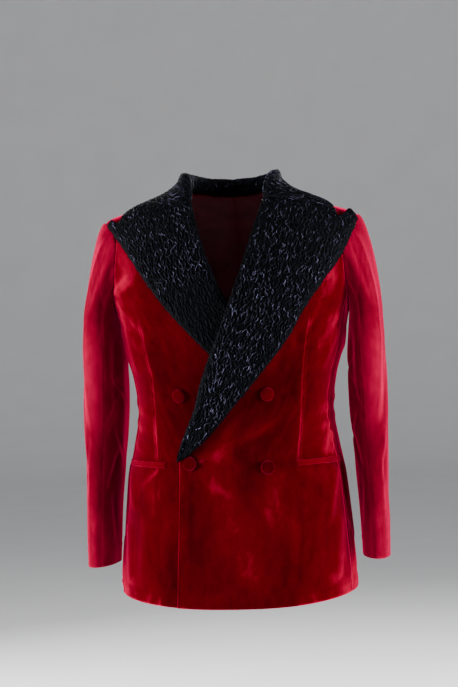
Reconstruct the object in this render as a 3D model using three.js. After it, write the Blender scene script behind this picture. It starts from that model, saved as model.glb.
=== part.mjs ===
// Double-breasted velvet smoking jacket with a wide curled-fur collar, worn and hollow.
// Millimetres, +Z up. The front faces -Y and the wearer's left is +X. The origin lies midway
// between the two side-neck points, where the shoulders carry the coat.
import * as THREE from 'three';

// Driving sizes
const NECK_HALF = 75;
const SHOULDER_HALF = 228;
const SHOULDER_Z = -57;
const CHEST_HALF = 206.5;
const ARMPIT_Z = -228;
const WAIST_HALF = 176;
const WAIST_Z = -400;
const HEM_HALF = 213;
const HEM_Z = -720;
const FRONT_DIP = 20;
const SLEEVE_END_Z = { left: -664, right: -673 };
const CLOTH = 2.6;
const FUR = 6.5;
const SEAM = 1;
const LAYER = 1.2;
const BUTTON_DIAMETER = 23;

// Colours, roughness and metalness of the two cloths
const VELVET = { color: 0x8c0712, roughness: 0.85, metalness: 0 };
const CURL = { color: 0x0d0d12, roughness: 0.6, metalness: 0 };

// Horizontal sections of the coat's body: half width, depth to the front and to the back, and
// how square the section is (2 is an ellipse)
const BODY = [
  { z: 0, half: NECK_HALF, front: 44, back: 52, power: 2.2 },
  { z: -28, half: 150, front: 58, back: 76, power: 2.2 },
  { z: SHOULDER_Z, half: SHOULDER_HALF, front: 76, back: 96, power: 2.25 },
  { z: -95, half: SHOULDER_HALF + 0.5, front: 97, back: 116, power: 2.45 },
  { z: -140, half: 225, front: 114, back: 130, power: 2.6 },
  { z: -190, half: 219, front: 126, back: 137, power: 2.6 },
  { z: -235, half: CHEST_HALF, front: 133, back: 137, power: 2.5 },
  { z: -290, half: 197, front: 136, back: 131, power: 2.45 },
  { z: -340, half: 183, front: 134, back: 122, power: 2.4 },
  { z: WAIST_Z, half: WAIST_HALF, front: 129, back: 116, power: 2.4 },
  { z: -460, half: 185, front: 130, back: 120, power: 2.4 },
  { z: -520, half: 196, front: 135, back: 128, power: 2.4 },
  { z: -600, half: 203, front: 141, back: 135, power: 2.4 },
  { z: -680, half: 210, front: 146, back: 140, power: 2.4 },
  { z: -745, half: HEM_HALF, front: 149, back: 142, power: 2.4 },
];

// The armhole, as an oval seen from the side
const ARMHOLE = { z: -142.5, tall: 85.5, front: 64, back: 70, power: 2.2 };

// Sections of the sleeve on the wearer's left: how far out and in it reaches, to the front and
// to the back, and how far its back edge leans towards the body
const SLEEVE = [
  { z: -235, outer: 269, inner: 208.5, front: 78, back: 88, lean: 2 },
  { z: -265, outer: 270.5, inner: 206, front: 76, back: 91, lean: 4 },
  { z: -300, outer: 272, inner: 203.5, front: 72, back: 94, lean: 6 },
  { z: -345, outer: 273, inner: 202, front: 68, back: 95, lean: 8 },
  { z: -390, outer: 273.5, inner: 203, front: 64, back: 93, lean: 9 },
  { z: -440, outer: 273, inner: 206, front: 63, back: 86, lean: 9 },
  { z: -500, outer: 272, inner: 212, front: 66, back: 77, lean: 8 },
  { z: -580, outer: 271.5, inner: 218, front: 73, back: 64, lean: 6 },
  { z: SLEEVE_END_Z.right, outer: 270.5, inner: 222, front: 80, back: 50, lean: 5 },
];
const SLEEVE_POWER = 2.2;
const SLEEVE_HEAD = 0.3;
const SLEEVE_DROP = 0.9;
const SLEEVE_STAND = 1.6;
const SLEEVE_SEAMS = { front: 112, back: 248 };

// Front edge of each front, as the distance across from the centre: neckline, roll line, edge
const EDGE_LEFT = [
  { z: 0, across: 74.5 },
  { z: -14, across: 73 },
  { z: -34, across: 67.5 },
  { z: -90, across: 50 },
  { z: -143, across: 34 },
  { z: -217, across: 10 },
  { z: -300, across: -22 },
  { z: -353, across: -42 },
  { z: -400, across: -55 },
  { z: -430, across: -68 },
  { z: -464, across: -83 },
  { z: -480, across: -88 },
  { z: -492, across: -87 },
  { z: -745, across: -96 },
];
const EDGE_RIGHT = [
  { z: 0, across: 74.5 },
  { z: -14, across: 73 },
  { z: -34, across: 67.5 },
  { z: -132, across: 36 },
  { z: -185, across: 14 },
  { z: -221, across: -6 },
  { z: -300, across: -30 },
  { z: -400, across: -58 },
  { z: -480, across: -80 },
  { z: -745, across: -86 },
];

// Outer edge of each lapel, from the peak at the shoulder down to the tip
const LAPEL_LEFT = [
  { z: -67, across: 228 },
  { z: -84, across: 221.5 },
  { z: -107, across: 211 },
  { z: -137, across: 195 },
  { z: -174, across: 169 },
  { z: -234, across: 128 },
  { z: -267, across: 110 },
  { z: -327, across: 64 },
  { z: -379, across: 20 },
  { z: -442, across: -33 },
  { z: -477, across: -73 },
  { z: -487, across: -88 },
];
const LAPEL_RIGHT = [
  { z: -66, across: 217 },
  { z: -80, across: 207 },
  { z: -108, across: 184 },
  { z: -164, across: 145 },
  { z: -222, across: 101 },
  { z: -280, across: 48 },
  { z: -300, across: 28 },
  { z: -330, across: -2 },
];
// The peak's upper edge arches between the notch and its tip, by this share of its length
const PEAK_RISE = 0.35;
const PEAK_SHARE = 0.8;

// Stations of the collar from the gorge round to the middle of the back, seen from above. Inner
// is the neck seam, outer the free edge, and crest the height of the fold over the neck seam.
const COLLAR = [
  { along: 0, innerX: 67, innerY: -55, outerX: 193, outerY: -47.5, crest: 14 },
  { along: 0.12, innerX: 66, innerY: -46, outerX: 180, outerY: -25, crest: 18 },
  { along: 0.25, innerX: 69.5, innerY: -33, outerX: 169, outerY: 0, crest: 23 },
  { along: 0.4, innerX: 74, innerY: -9, outerX: 161, outerY: 30, crest: 28 },
  { along: 0.55, innerX: 73, innerY: 20, outerX: 148, outerY: 60, crest: 31 },
  { along: 0.75, innerX: 56, innerY: 46, outerX: 110, outerY: 88, crest: 32 },
  { along: 0.88, innerX: 33, innerY: 57.5, outerX: 60, outerY: 102, crest: 32 },
  { along: 1, innerX: 0, innerY: 62, outerX: 0, outerY: 108, crest: 32 },
];
// Cross-section of the collar's stand and fold, for the skin that shows and the one that doesn't.
// Out is in millimetres away from the neck; up is a share of the crest.
const COLLAR_FOLD = [
  { out: -3.5, up: 0, underOut: 1, underUp: 0 },
  { out: -4.5, up: 0.4, underOut: 0.5, underUp: 0.4 },
  { out: -3, up: 0.75, underOut: 2.5, underUp: 0.62 },
  { out: 3, up: 0.97, underOut: 6, underUp: 0.74 },
  { out: 11, up: 1, underOut: 10.5, underUp: 0.76 },
  { out: 18, up: 0.9, underOut: 14.5, underUp: 0.64 },
];
// Shares of the fall's width, and how much fur there is over the skin at each
const COLLAR_FALL = [
  { share: 0.12, thick: FUR },
  { share: 0.26, thick: FUR },
  { share: 0.42, thick: FUR },
  { share: 0.58, thick: FUR },
  { share: 0.73, thick: FUR },
  { share: 0.87, thick: 5.6 },
  { share: 1, thick: 2.6 },
];
const COLLAR_REST = 3.4;
const COLLAR_STAND = 0.7;
const FULL_CREST = 30;

// Cross-section of a lapel at its roll: how far each column is shifted from its place, and how
// high its two skins stand over the front
const LAPEL_ROLL = [
  { share: 0, shift: -4, top: 1.5, underShift: 0.8, under: 1.5 },
  { share: 0, shift: -4.5, top: 5, underShift: 1.6, under: 1.7 },
  { share: 0, shift: -1.5, top: 8.4, underShift: 3, under: 2.1 },
  { share: 0, shift: 4.5, top: 9.8, underShift: 6, under: 2.8 },
];
const LAPEL_SHARES = [0.14, 0.28, 0.42, 0.56, 0.68, 0.8, 0.87, 0.94, 1];
const LAPEL_REST = 3.6;
// Over the sleeve head the lapel runs straight on instead of following the body round
const LAPEL_TANGENT = { across: 198, slope: 0.52 };

// Soft drag lines on the fronts, from the closing button and the hip pockets
const DRAGS = [
  { side: 1, fromX: -62, fromZ: -478, toX: 35, toZ: -395, wide: 13, high: 2.6 },
  { side: 1, fromX: -50, fromZ: -500, toX: -5, toZ: -575, wide: 12, high: 2 },
  { side: 1, fromX: 90, fromZ: -520, toX: 60, toZ: -690, wide: 26, high: 2.4 },
  { side: 1, fromX: 150, fromZ: -515, toX: 165, toZ: -690, wide: 22, high: 2.6 },
  { side: -1, fromX: 118, fromZ: -500, toX: 150, toZ: -560, wide: 12, high: 2 },
  { side: -1, fromX: 150, fromZ: -290, toX: 168, toZ: -200, wide: 14, high: 2.2 },
];
// Soft folds of the sleeves: angle round the sleeve, heights where they start and end
const SLEEVE_FOLDS = [
  { angle: 150, top: -250, bottom: -420, wide: 16, high: 4 },
  { angle: 200, top: -300, bottom: -520, wide: 18, high: 4 },
  { angle: 60, top: -90, bottom: -240, wide: 15, high: 2.5 },
  { angle: 305, top: -110, bottom: -330, wide: 18, high: 3 },
  { angle: 20, top: -420, bottom: -600, wide: 16, high: 2 },
];

const RAD = Math.PI / 180;
const lerp = (a, b, t) => a + (b - a) * t;
const clamp = (x, low, high) => Math.min(high, Math.max(low, x));
const power = (x, p) => Math.sign(x) * Math.abs(x) ** p;

function smooth(from, to, x) {
  const t = clamp((x - from) / (to - from), 0, 1);
  return t * t * (3 - 2 * t);
}

// A smooth curve through a table's column that never overshoots its rows
function curve(table, at, column) {
  const rows = [...table].sort((p, q) => p[at] - q[at]);
  const xs = rows.map((r) => r[at]);
  const ys = rows.map((r) => r[column]);
  const steps = xs.slice(1).map((x, i) => x - xs[i]);
  const slopes = steps.map((h, i) => (ys[i + 1] - ys[i]) / h);
  const tangents = xs.map((_, i) => {
    if (i === 0) return slopes[0];
    if (i === xs.length - 1) return slopes[i - 1];
    if (slopes[i - 1] * slopes[i] <= 0) return 0;
    const w1 = 2 * steps[i] + steps[i - 1];
    const w2 = steps[i] + 2 * steps[i - 1];
    return (w1 + w2) / (w1 / slopes[i - 1] + w2 / slopes[i]);
  });
  return (value) => {
    const x = clamp(value, xs[0], xs[xs.length - 1]);
    let i = 0;
    while (i < steps.length - 1 && x > xs[i + 1]) i += 1;
    const t = (x - xs[i]) / steps[i];
    const s = 1 - t;
    return (1 + 2 * t) * s * s * ys[i] + t * s * s * steps[i] * tangents[i]
      + t * t * (3 - 2 * t) * ys[i + 1] - t * t * s * steps[i] * tangents[i + 1];
  };
}

const bodyHalf = curve(BODY, 'z', 'half');
const bodyFront = curve(BODY, 'z', 'front');
const bodyBack = curve(BODY, 'z', 'back');
const bodyPower = curve(BODY, 'z', 'power');

// Point of the body's skin: 90 degrees is the front, 0 the wearer's left side, -90 the back
function bodyPoint(angle, z) {
  const share = 2 / bodyPower(z);
  const depth = angle >= 0 ? bodyFront(z) : bodyBack(z);
  const x = bodyHalf(z) * power(Math.cos(angle * RAD), share);
  const y = -depth * power(Math.sin(angle * RAD), share);
  return new THREE.Vector3(x, y, z);
}

function bodyNormal(angle, z) {
  const da = 1.5;
  const dz = 1.5;
  const round = bodyPoint(angle + da, z).sub(bodyPoint(angle - da, z));
  const down = bodyPoint(angle, z - dz).sub(bodyPoint(angle, Math.min(z + dz, 0)));
  const normal = new THREE.Vector3().crossVectors(down, round).normalize();
  const out = new THREE.Vector3(bodyPoint(angle, z).x, bodyPoint(angle, z).y, 30);
  return normal.dot(out) < 0 ? normal.negate() : normal;
}

const skin = (angle, z, lift) => bodyPoint(angle, z).addScaledVector(bodyNormal(angle, z), lift);

// Angle of the point of the front that lies this far across
function angleAcross(x, z) {
  const share = clamp(Math.abs(x) / bodyHalf(z), 0, 0.997);
  const angle = Math.acos(share ** (bodyPower(z) / 2)) / RAD;
  return x < 0 ? 180 - angle : angle;
}

// Angle of the point that lies this far forward (positive) or back (negative) of the side
function angleForward(y, z) {
  const depth = y >= 0 ? bodyFront(z) : bodyBack(z);
  const share = clamp(Math.abs(y) / depth, 0, 1);
  return Math.sign(y) * (Math.asin(share ** (bodyPower(z) / 2)) / RAD);
}

// Height of the body's skin under a point of the shoulders or neck seen from above
function heightUnder(x, y) {
  let high = 0;
  let low = -140;
  for (let i = 0; i < 40; i += 1) {
    const z = (high + low) / 2;
    const depth = y <= 0 ? bodyFront(z) : bodyBack(z);
    const p = bodyPower(z);
    if ((Math.abs(x) / bodyHalf(z)) ** p + (Math.abs(y) / depth) ** p > 1) high = z;
    else low = z;
  }
  return (high + low) / 2;
}

function shoulderSkin(x, y, lift) {
  const z = heightUnder(x, y);
  return skin(angleForward(-y, z), z, lift);
}

// How far the armhole reaches to the front or to the back at a height
function armholeReach(z, widest) {
  const share = clamp(Math.abs(z - ARMHOLE.z) / ARMHOLE.tall, 0, 1);
  return widest * (1 - share ** ARMHOLE.power) ** (1 / ARMHOLE.power);
}

// The hem: level at the sides and back, dipping towards the middle of the front
const hemDip = (angle) => -FRONT_DIP * Math.max(0, Math.sin(angle * RAD)) ** 1.5;
const hemmed = (z, angle) => z + hemDip(angle) * smooth(-560, HEM_Z, z);

// Closes the space between two grids of points that have the same rows and columns
function slab(outer, inner) {
  const rows = outer.length;
  const columns = outer[0].length;
  const points = [...outer.flat(), ...inner.flat()];
  const top = (r, c) => r * columns + c;
  const under = (r, c) => rows * columns + r * columns + c;
  const faces = [];
  const quad = (a, b, c, d) => faces.push([a, b, c], [a, c, d]);
  for (let r = 0; r < rows - 1; r += 1) {
    for (let c = 0; c < columns - 1; c += 1) {
      quad(top(r, c), top(r + 1, c), top(r + 1, c + 1), top(r, c + 1));
      quad(under(r, c), under(r, c + 1), under(r + 1, c + 1), under(r + 1, c));
    }
    const last = columns - 1;
    quad(top(r, 0), under(r, 0), under(r + 1, 0), top(r + 1, 0));
    quad(top(r, last), top(r + 1, last), under(r + 1, last), under(r, last));
  }
  for (let c = 0; c < columns - 1; c += 1) {
    const last = rows - 1;
    quad(top(0, c), top(0, c + 1), under(0, c + 1), under(0, c));
    quad(top(last, c), under(last, c), under(last, c + 1), top(last, c + 1));
  }
  const volume = faces.reduce((sum, [a, b, c]) => (
    sum + points[a].dot(new THREE.Vector3().crossVectors(points[b], points[c]))
  ), 0);
  const turned = volume < 0 ? faces.map(([a, b, c]) => [a, c, b]) : faces;
  const geometry = new THREE.BufferGeometry();
  geometry.setAttribute('position', new THREE.Float32BufferAttribute(points.flatMap((p) => [p.x, p.y, p.z]), 3));
  geometry.setIndex(turned.flat());
  geometry.computeVertexNormals();
  return geometry;
}

const mirrored = (grid) => grid.map((row) => row.map((p) => new THREE.Vector3(-p.x, p.y, p.z)));

const jacket = new THREE.Group();

function add(name, geometry, look) {
  const mesh = new THREE.Mesh(geometry, new THREE.MeshStandardMaterial(look));
  mesh.name = name;
  jacket.add(mesh);
  return mesh;
}

// Soft drag lines as a height over the panel
function dragHeight(side, x, z) {
  return DRAGS.filter((d) => d.side === side).reduce((sum, d) => {
    const length = Math.hypot(d.toX - d.fromX, d.toZ - d.fromZ);
    const alongX = (d.toX - d.fromX) / length;
    const alongZ = (d.toZ - d.fromZ) / length;
    const along = (x - d.fromX) * alongX + (z - d.fromZ) * alongZ;
    const off = (x - d.fromX) * alongZ - (z - d.fromZ) * alongX;
    const fade = smooth(-d.wide, d.wide, along) * (1 - smooth(length - 2 * d.wide, length + d.wide, along));
    return sum + d.high * fade * Math.exp(-((off / d.wide) ** 2));
  }, 0);
}

// How far the wearer's left front stands off the body: over the right front, and where the
// two collars cross over the right lapel too
const OVERLAP = CLOTH + LAYER;
const CROSSING = { x: -4, z: -272, wide: 52, tall: 80, high: 5.6 };
function leftLift(x, z) {
  const lap = OVERLAP * (1 - smooth(96, 165, x)) * smooth(-140, -200, z);
  const away = Math.hypot((x - CROSSING.x) / CROSSING.wide, (z - CROSSING.z) / CROSSING.tall);
  return lap + CROSSING.high * (1 - smooth(0.75, 1.9, away)) * smooth(-135, -196, z);
}

// Fronts
const FRONT_ROWS = [-4, -14, -34, -50, -57, -61, -68, -82, -102, -128, -158, -188, -210, -226,
  -245, -272, -300, -330, -365, -400, -430, -460, -482, -500, -530, -575, -620, -665, -698, HEM_Z];
const FRONT_COLUMNS = 13;
const SIDE_SEAM = { front: 50, back: 58 };
const EDGES = { left: curve(EDGE_LEFT, 'z', 'across'), right: curve(EDGE_RIGHT, 'z', 'across') };
const LIFTS = {
  left: (x, z) => leftLift(x, z) + dragHeight(1, x, z),
  right: (x, z) => dragHeight(-1, x, z),
};

// Where a front or a back ends towards the side: shoulder seam, armhole, then side seam
function outerAngle(z, facing) {
  const front = facing > 0;
  const gap = SEAM / 2;
  if (z > SHOULDER_Z - 0.01) return facing * (gap / 2);
  const seam = front ? SIDE_SEAM.front : SIDE_SEAM.back;
  const hole = armholeReach(z, front ? ARMHOLE.front : ARMHOLE.back) + gap;
  const reach = z < ARMHOLE.z ? Math.max(hole, seam + gap) : hole;
  return angleForward(facing * reach, z);
}

function frontPanel(edge, lift) {
  const skinAt = (depth) => FRONT_ROWS.map((z) => {
    const from = angleAcross(edge(z), z);
    const to = outerAngle(z, 1);
    return Array.from({ length: FRONT_COLUMNS }, (_, c) => {
      const share = c / (FRONT_COLUMNS - 1);
      const angle = lerp(from, to, share);
      const low = hemmed(z, angle);
      const x = bodyPoint(angle, low).x;
      return skin(angle, low, lift(x, low) - depth);
    });
  });
  return [skinAt(0), skinAt(CLOTH)];
}

add('front_left', slab(...frontPanel(EDGES.left, LIFTS.left)), VELVET);
add('front_right', slab(...frontPanel(EDGES.right, LIFTS.right).map(mirrored)), VELVET);

// Backs, joined down the middle
const BACK_COLUMNS = 9;
const BACK_ROWS = [-6, -20, -36, -50, -57, -62, -72, -90, -115, -145, -180, -210, -226, -250, -285,
  -325, -365, -405, -450, -500, -560, -620, -675, HEM_Z];

const neckEdge = COLLAR.filter((s) => s.innerY > -10).map((s) => {
  const z = heightUnder(s.innerX, s.innerY);
  return { angle: angleForward(-s.innerY, z), z };
});
const neckZ = curve(neckEdge, 'angle', 'z');

function backPanel() {
  const skinAt = (depth) => BACK_ROWS.map((z, r) => {
    const from = -angleAcross(SEAM / 2, z);
    const to = outerAngle(z, -1);
    return Array.from({ length: BACK_COLUMNS }, (_, c) => {
      const angle = lerp(from, r === 0 ? -4 : to, c / (BACK_COLUMNS - 1));
      const low = r === 0 ? neckZ(angle) : Math.min(hemmed(z, angle), neckZ(angle) - r);
      return skin(angle, low, -depth);
    });
  });
  return [skinAt(0), skinAt(CLOTH)];
}

const backGrids = backPanel();
add('back_left', slab(...backGrids), VELVET);
add('back_right', slab(...backGrids.map(mirrored)), VELVET);

// Side bodies, under the arms
const SIDE_COLUMNS = 6;
const SIDE_ROWS = [-232, -245, -272, -305, -345, -385, -420, -460, -500, -560, -620, -675, HEM_Z];

function armholeZ(y) {
  const widest = y >= 0 ? ARMHOLE.front : ARMHOLE.back;
  const share = clamp(Math.abs(y) / widest, 0, 1);
  return ARMHOLE.z - ARMHOLE.tall * (1 - share ** ARMHOLE.power) ** (1 / ARMHOLE.power);
}

function sidePanel() {
  const skinAt = (depth) => [0, ...SIDE_ROWS].map((z, r) => (
    Array.from({ length: SIDE_COLUMNS }, (_, c) => {
      const y = lerp(SIDE_SEAM.front - SEAM / 2, -SIDE_SEAM.back + SEAM / 2, c / (SIDE_COLUMNS - 1));
      const level = r === 0 ? armholeZ(y) - SEAM : Math.min(z, armholeZ(y) - SEAM - 3 * r);
      const angle = angleForward(y, level);
      return skin(angle, hemmed(level, angle), -depth);
    })
  ));
  return [skinAt(0), skinAt(CLOTH)];
}

const sideGrids = sidePanel();
add('side_left', slab(...sideGrids), VELVET);
add('side_right', slab(...sideGrids.map(mirrored)), VELVET);

// Sleeves: a head that grows out of the armhole, then a hanging tube, in two pieces each
const sleeveColumns = Object.fromEntries(['outer', 'inner', 'front', 'back', 'lean'].map((name) => (
  [name, curve(SLEEVE, 'z', name)]
)));

function armholePoint(turn) {
  const along = power(Math.cos(turn * RAD), 2 / ARMHOLE.power);
  const across = power(Math.sin(turn * RAD), 2 / ARMHOLE.power);
  const z = ARMHOLE.z + ARMHOLE.tall * along;
  const y = across * (across >= 0 ? ARMHOLE.front : ARMHOLE.back);
  return skin(angleForward(y, z), z, SLEEVE_STAND);
}

function tubePoint(turn, z) {
  const s = Object.fromEntries(Object.entries(sleeveColumns).map(([name, at]) => [name, at(z)]));
  const across = power(Math.cos(turn * RAD), 2 / SLEEVE_POWER);
  const forward = power(Math.sin(turn * RAD), 2 / SLEEVE_POWER);
  const x = (s.outer + s.inner) / 2 + ((s.outer - s.inner) / 2) * across + s.lean * forward;
  return new THREE.Vector3(x, -forward * (forward >= 0 ? s.front : s.back), z);
}

// Turn is 0 outside, 90 at the front, 180 next to the body and 270 at the back. Down runs from
// 0 at the armhole to 1 under the arm and 2 at the cuff.
function sleevePoint(turn, down, endZ) {
  if (down > 1) return tubePoint(turn, lerp(SLEEVE[0].z, endZ, down - 1));
  const from = armholePoint(turn);
  const to = tubePoint(turn, SLEEVE[0].z);
  const chord = to.clone().sub(from);
  const length = chord.length();
  const outward = 0.5 + 0.5 * Math.cos(turn * RAD);
  const start = new THREE.Vector3(outward, 0, 0).addScaledVector(chord, (1 - outward) / length);
  start.normalize().multiplyScalar(length * lerp(SLEEVE_DROP, SLEEVE_HEAD, outward));
  const end = new THREE.Vector3(0, 0, -length * SLEEVE_DROP);
  const s = 1 - down;
  return from.multiplyScalar((1 + 2 * down) * s * s)
    .addScaledVector(start, down * s * s)
    .addScaledVector(to, down * down * (3 - 2 * down))
    .addScaledVector(end, -down * down * s);
}

function sleeveFold(turn, z) {
  return SLEEVE_FOLDS.reduce((sum, f) => {
    const off = ((turn - f.angle + 540) % 360) - 180;
    const fade = smooth(f.top, f.top - 40, z) * (1 - smooth(f.bottom + 50, f.bottom, z));
    return sum + f.high * fade * Math.exp(-((off / f.wide) ** 2));
  }, 0);
}

function sleeveSkin(turn, down, endZ, depth) {
  const point = sleevePoint(turn, down, endZ);
  const below = sleevePoint(turn, Math.min(down + 0.02, 2), endZ);
  const above = sleevePoint(turn, Math.max(down - 0.02, 0), endZ);
  const round = sleevePoint(turn + 2, down, endZ).sub(sleevePoint(turn - 2, down, endZ));
  const fall = below.sub(above);
  const normal = new THREE.Vector3().crossVectors(round, fall).normalize();
  return point.addScaledVector(normal, -sleeveFold(turn, point.z) - depth);
}

const SLEEVE_DOWNS = [0, 0.1, 0.25, 0.45, 0.7, 1, 1.1, 1.22, 1.34, 1.46, 1.58, 1.72, 1.86, 2];

function sleevePiece([from, to, columns], endZ) {
  const turnAt = (c) => lerp(from, to, c / (columns - 1));
  const skinAt = (depth) => SLEEVE_DOWNS.map((down) => (
    Array.from({ length: columns }, (_, c) => sleeveSkin(turnAt(c), down, endZ, depth))
  ));
  return [skinAt(0), skinAt(CLOTH)];
}

const SEAM_TURN = 0.8;
const UPPER = [SLEEVE_SEAMS.back + SEAM_TURN, SLEEVE_SEAMS.front + 360 - SEAM_TURN, 16];
const UNDER = [SLEEVE_SEAMS.front + SEAM_TURN, SLEEVE_SEAMS.back - SEAM_TURN, 9];
add('sleeve_upper_left', slab(...sleevePiece(UPPER, SLEEVE_END_Z.left)), VELVET);
add('sleeve_under_left', slab(...sleevePiece(UNDER, SLEEVE_END_Z.left)), VELVET);
add('sleeve_upper_right', slab(...sleevePiece(UPPER, SLEEVE_END_Z.right).map(mirrored)), VELVET);
add('sleeve_under_right', slab(...sleevePiece(UNDER, SLEEVE_END_Z.right).map(mirrored)), VELVET);

// Lapels, folded back over the fronts along the roll line
const LAPEL_ROWS = 19;
const GORGE_GAP = 1.8;

function gorgePoint(share) {
  const x = lerp(COLLAR[0].innerX, COLLAR[0].outerX, share);
  const y = lerp(COLLAR[0].innerY, COLLAR[0].outerY, share);
  return { x, z: heightUnder(x, y) - GORGE_GAP * (1 + share) };
}

// Shape says how a lapel thins out on its way down, as shares of its full height over the front
function lapelGrids(edge, outline, lift, last, thinning) {
  const outlineAt = curve(outline, 'z', 'across');
  const peakZ = outline[0].z;
  const tipZ = outline[outline.length - 1].z;
  const peak = { x: outlineAt(peakZ), z: peakZ };
  const place = (down, share, shift) => {
    const rollZ = lerp(gorgePoint(0).z, last, down);
    const outZ = lerp(peakZ, tipZ, down);
    const roll = { x: edge(rollZ), z: rollZ };
    const out = { x: outlineAt(outZ), z: outZ };
    const row = { x: lerp(roll.x, out.x, share), z: lerp(roll.z, out.z, share) };
    const notch = gorgePoint(1);
    const topShare = (share - PEAK_SHARE) / (1 - PEAK_SHARE);
    const rise = PEAK_RISE * (peak.x - notch.x) * Math.sin(Math.PI * Math.max(0, topShare) ** 1.3);
    const top = share < PEAK_SHARE
      ? gorgePoint(share / PEAK_SHARE)
      : { x: lerp(notch.x, peak.x, topShare), z: lerp(notch.z, peak.z, topShare) + rise };
    const blend = 1 - smooth(0, 0.16, down);
    const along = { x: out.x - roll.x, z: out.z - roll.z };
    const length = Math.hypot(along.x, along.z);
    return {
      x: lerp(row.x, top.x, blend) + (shift * along.x) / length,
      z: lerp(row.z, top.z, blend) + (shift * along.z) / length,
    };
  };
  const point = (down, share, shift, high) => {
    const { x, z } = place(down, share, shift);
    const beyond = Math.max(0, x - LAPEL_TANGENT.across);
    const onBody = skin(angleAcross(x - beyond, z), z, lift(x, z) + high * thinning(down));
    return onBody.add(new THREE.Vector3(beyond, LAPEL_TANGENT.slope * beyond, 0));
  };
  const rows = Array.from({ length: LAPEL_ROWS }, (_, r) => r / (LAPEL_ROWS - 1));
  // Near the tip the lapel narrows, so the roll's own width narrows with it
  const tight = (down) => lerp(1, 0.25, smooth(0.86, 1, down));
  const outer = rows.map((down) => [
    ...LAPEL_ROLL.map((c) => point(down, c.share, c.shift * tight(down), c.top)),
    ...LAPEL_SHARES.map((s) => point(down, s, 0, LAPEL_REST + FUR)),
  ]);
  const inner = rows.map((down) => [
    ...LAPEL_ROLL.map((c) => point(down, c.share, c.underShift * tight(down), c.under)),
    ...LAPEL_SHARES.map((s) => point(down, s, 0, LAPEL_REST)),
  ]);
  return [outer, inner];
}

const TIP_Z = -480;
const HIDDEN_END_Z = -262;
const leftShape = [EDGES.left, LAPEL_LEFT, LIFTS.left, TIP_Z, () => 1];
const rightShape = [EDGES.right, LAPEL_RIGHT, LIFTS.right, HIDDEN_END_Z, (down) => lerp(1, 0.55, smooth(0.45, 0.8, down))];
add('lapel_left', slab(...lapelGrids(...leftShape)), CURL);
add('lapel_right', slab(...lapelGrids(...rightShape).map(mirrored)), CURL);

// Collar: a stand round the neck, folded over into a wide fall
const COLLAR_STATIONS = 18;
const collarColumns = Object.fromEntries(
  ['innerX', 'innerY', 'outerX', 'outerY', 'crest'].map((name) => [name, curve(COLLAR, 'along', name)]),
);

function collarColumn(along) {
  const s = Object.fromEntries(Object.entries(collarColumns).map(([name, at]) => [name, at(along)]));
  const seam = shoulderSkin(s.innerX, s.innerY, 0).add(new THREE.Vector3(0, 0, COLLAR_STAND));
  const outward = new THREE.Vector3(s.innerX, s.innerY, 0).normalize();
  const spread = s.crest / FULL_CREST;
  const up = (share) => new THREE.Vector3(0, 0, share * s.crest);
  const fold = (out, share) => seam.clone().addScaledVector(outward, out * spread).add(up(share));
  const fall = (share, high) => {
    const rise = (s.crest - COLLAR_REST - FUR) * clamp(1 - share / 0.6, 0, 1) ** 2;
    return shoulderSkin(
      lerp(s.innerX, s.outerX, share),
      lerp(s.innerY, s.outerY, share),
      Math.max(0, rise) + high,
    );
  };
  return {
    outer: [...COLLAR_FOLD.map((f) => fold(f.out, f.up)), ...COLLAR_FALL.map((f) => fall(f.share, COLLAR_REST + f.thick))],
    inner: [...COLLAR_FOLD.map((f) => fold(f.underOut, f.underUp)), ...COLLAR_FALL.map((f) => fall(f.share, COLLAR_REST))],
  };
}

function collarGrids() {
  const stations = Array.from({ length: COLLAR_STATIONS }, (_, i) => (i / (COLLAR_STATIONS - 1)) ** 1.3);
  const half = stations.map(collarColumn);
  const whole = (kind) => {
    const left = half.map((column) => column[kind]);
    return [...left, ...mirrored(left.slice(0, -1)).reverse()];
  };
  return [whole('outer'), whole('inner')];
}

add('collar', slab(...collarGrids()), CURL);

// Pocket mouths: a thin welt that follows the front and the side
function weltGrids(from, to, columns, high, stand, lift) {
  const rows = [0, 1];
  const place = (share, row) => {
    const angle = lerp(from.angle, to.angle, share);
    const z = lerp(from.z, to.z, share) - row * high;
    const x = bodyPoint(angle, z).x;
    return { angle, z, lift: lift(x, z) };
  };
  const skinAt = (up) => rows.map((row) => Array.from({ length: columns }, (_, c) => {
    const p = place(c / (columns - 1), row);
    return skin(p.angle, p.z, p.lift + up);
  }));
  return [skinAt(LAYER + stand), skinAt(LAYER)];
}

const HIP_WELT = { across: 114, z: -487, endForward: 18, rise: 3, high: 9, stand: 1.6 };
const hipFrom = { angle: angleAcross(HIP_WELT.across, HIP_WELT.z), z: HIP_WELT.z };
const hipTo = { angle: angleForward(HIP_WELT.endForward, HIP_WELT.z), z: HIP_WELT.z + HIP_WELT.rise };
const hipGrids = (lift) => weltGrids(hipFrom, hipTo, 9, HIP_WELT.high, HIP_WELT.stand, lift);
add('hip_welt_left', slab(...hipGrids(LIFTS.left)), VELVET);
add('hip_welt_right', slab(...hipGrids(LIFTS.right).map(mirrored)), VELVET);

const BREAST_WELT = { innerAcross: 92, innerZ: -196, outerAcross: 185, outerZ: -172, high: 28, stand: 1.6 };
const breastFrom = { angle: angleAcross(BREAST_WELT.innerAcross, BREAST_WELT.innerZ), z: BREAST_WELT.innerZ };
const breastTo = { angle: angleAcross(BREAST_WELT.outerAcross, BREAST_WELT.outerZ), z: BREAST_WELT.outerZ };
add('breast_welt', slab(...weltGrids(breastFrom, breastTo, 6, BREAST_WELT.high, BREAST_WELT.stand, LIFTS.left)), VELVET);

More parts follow.
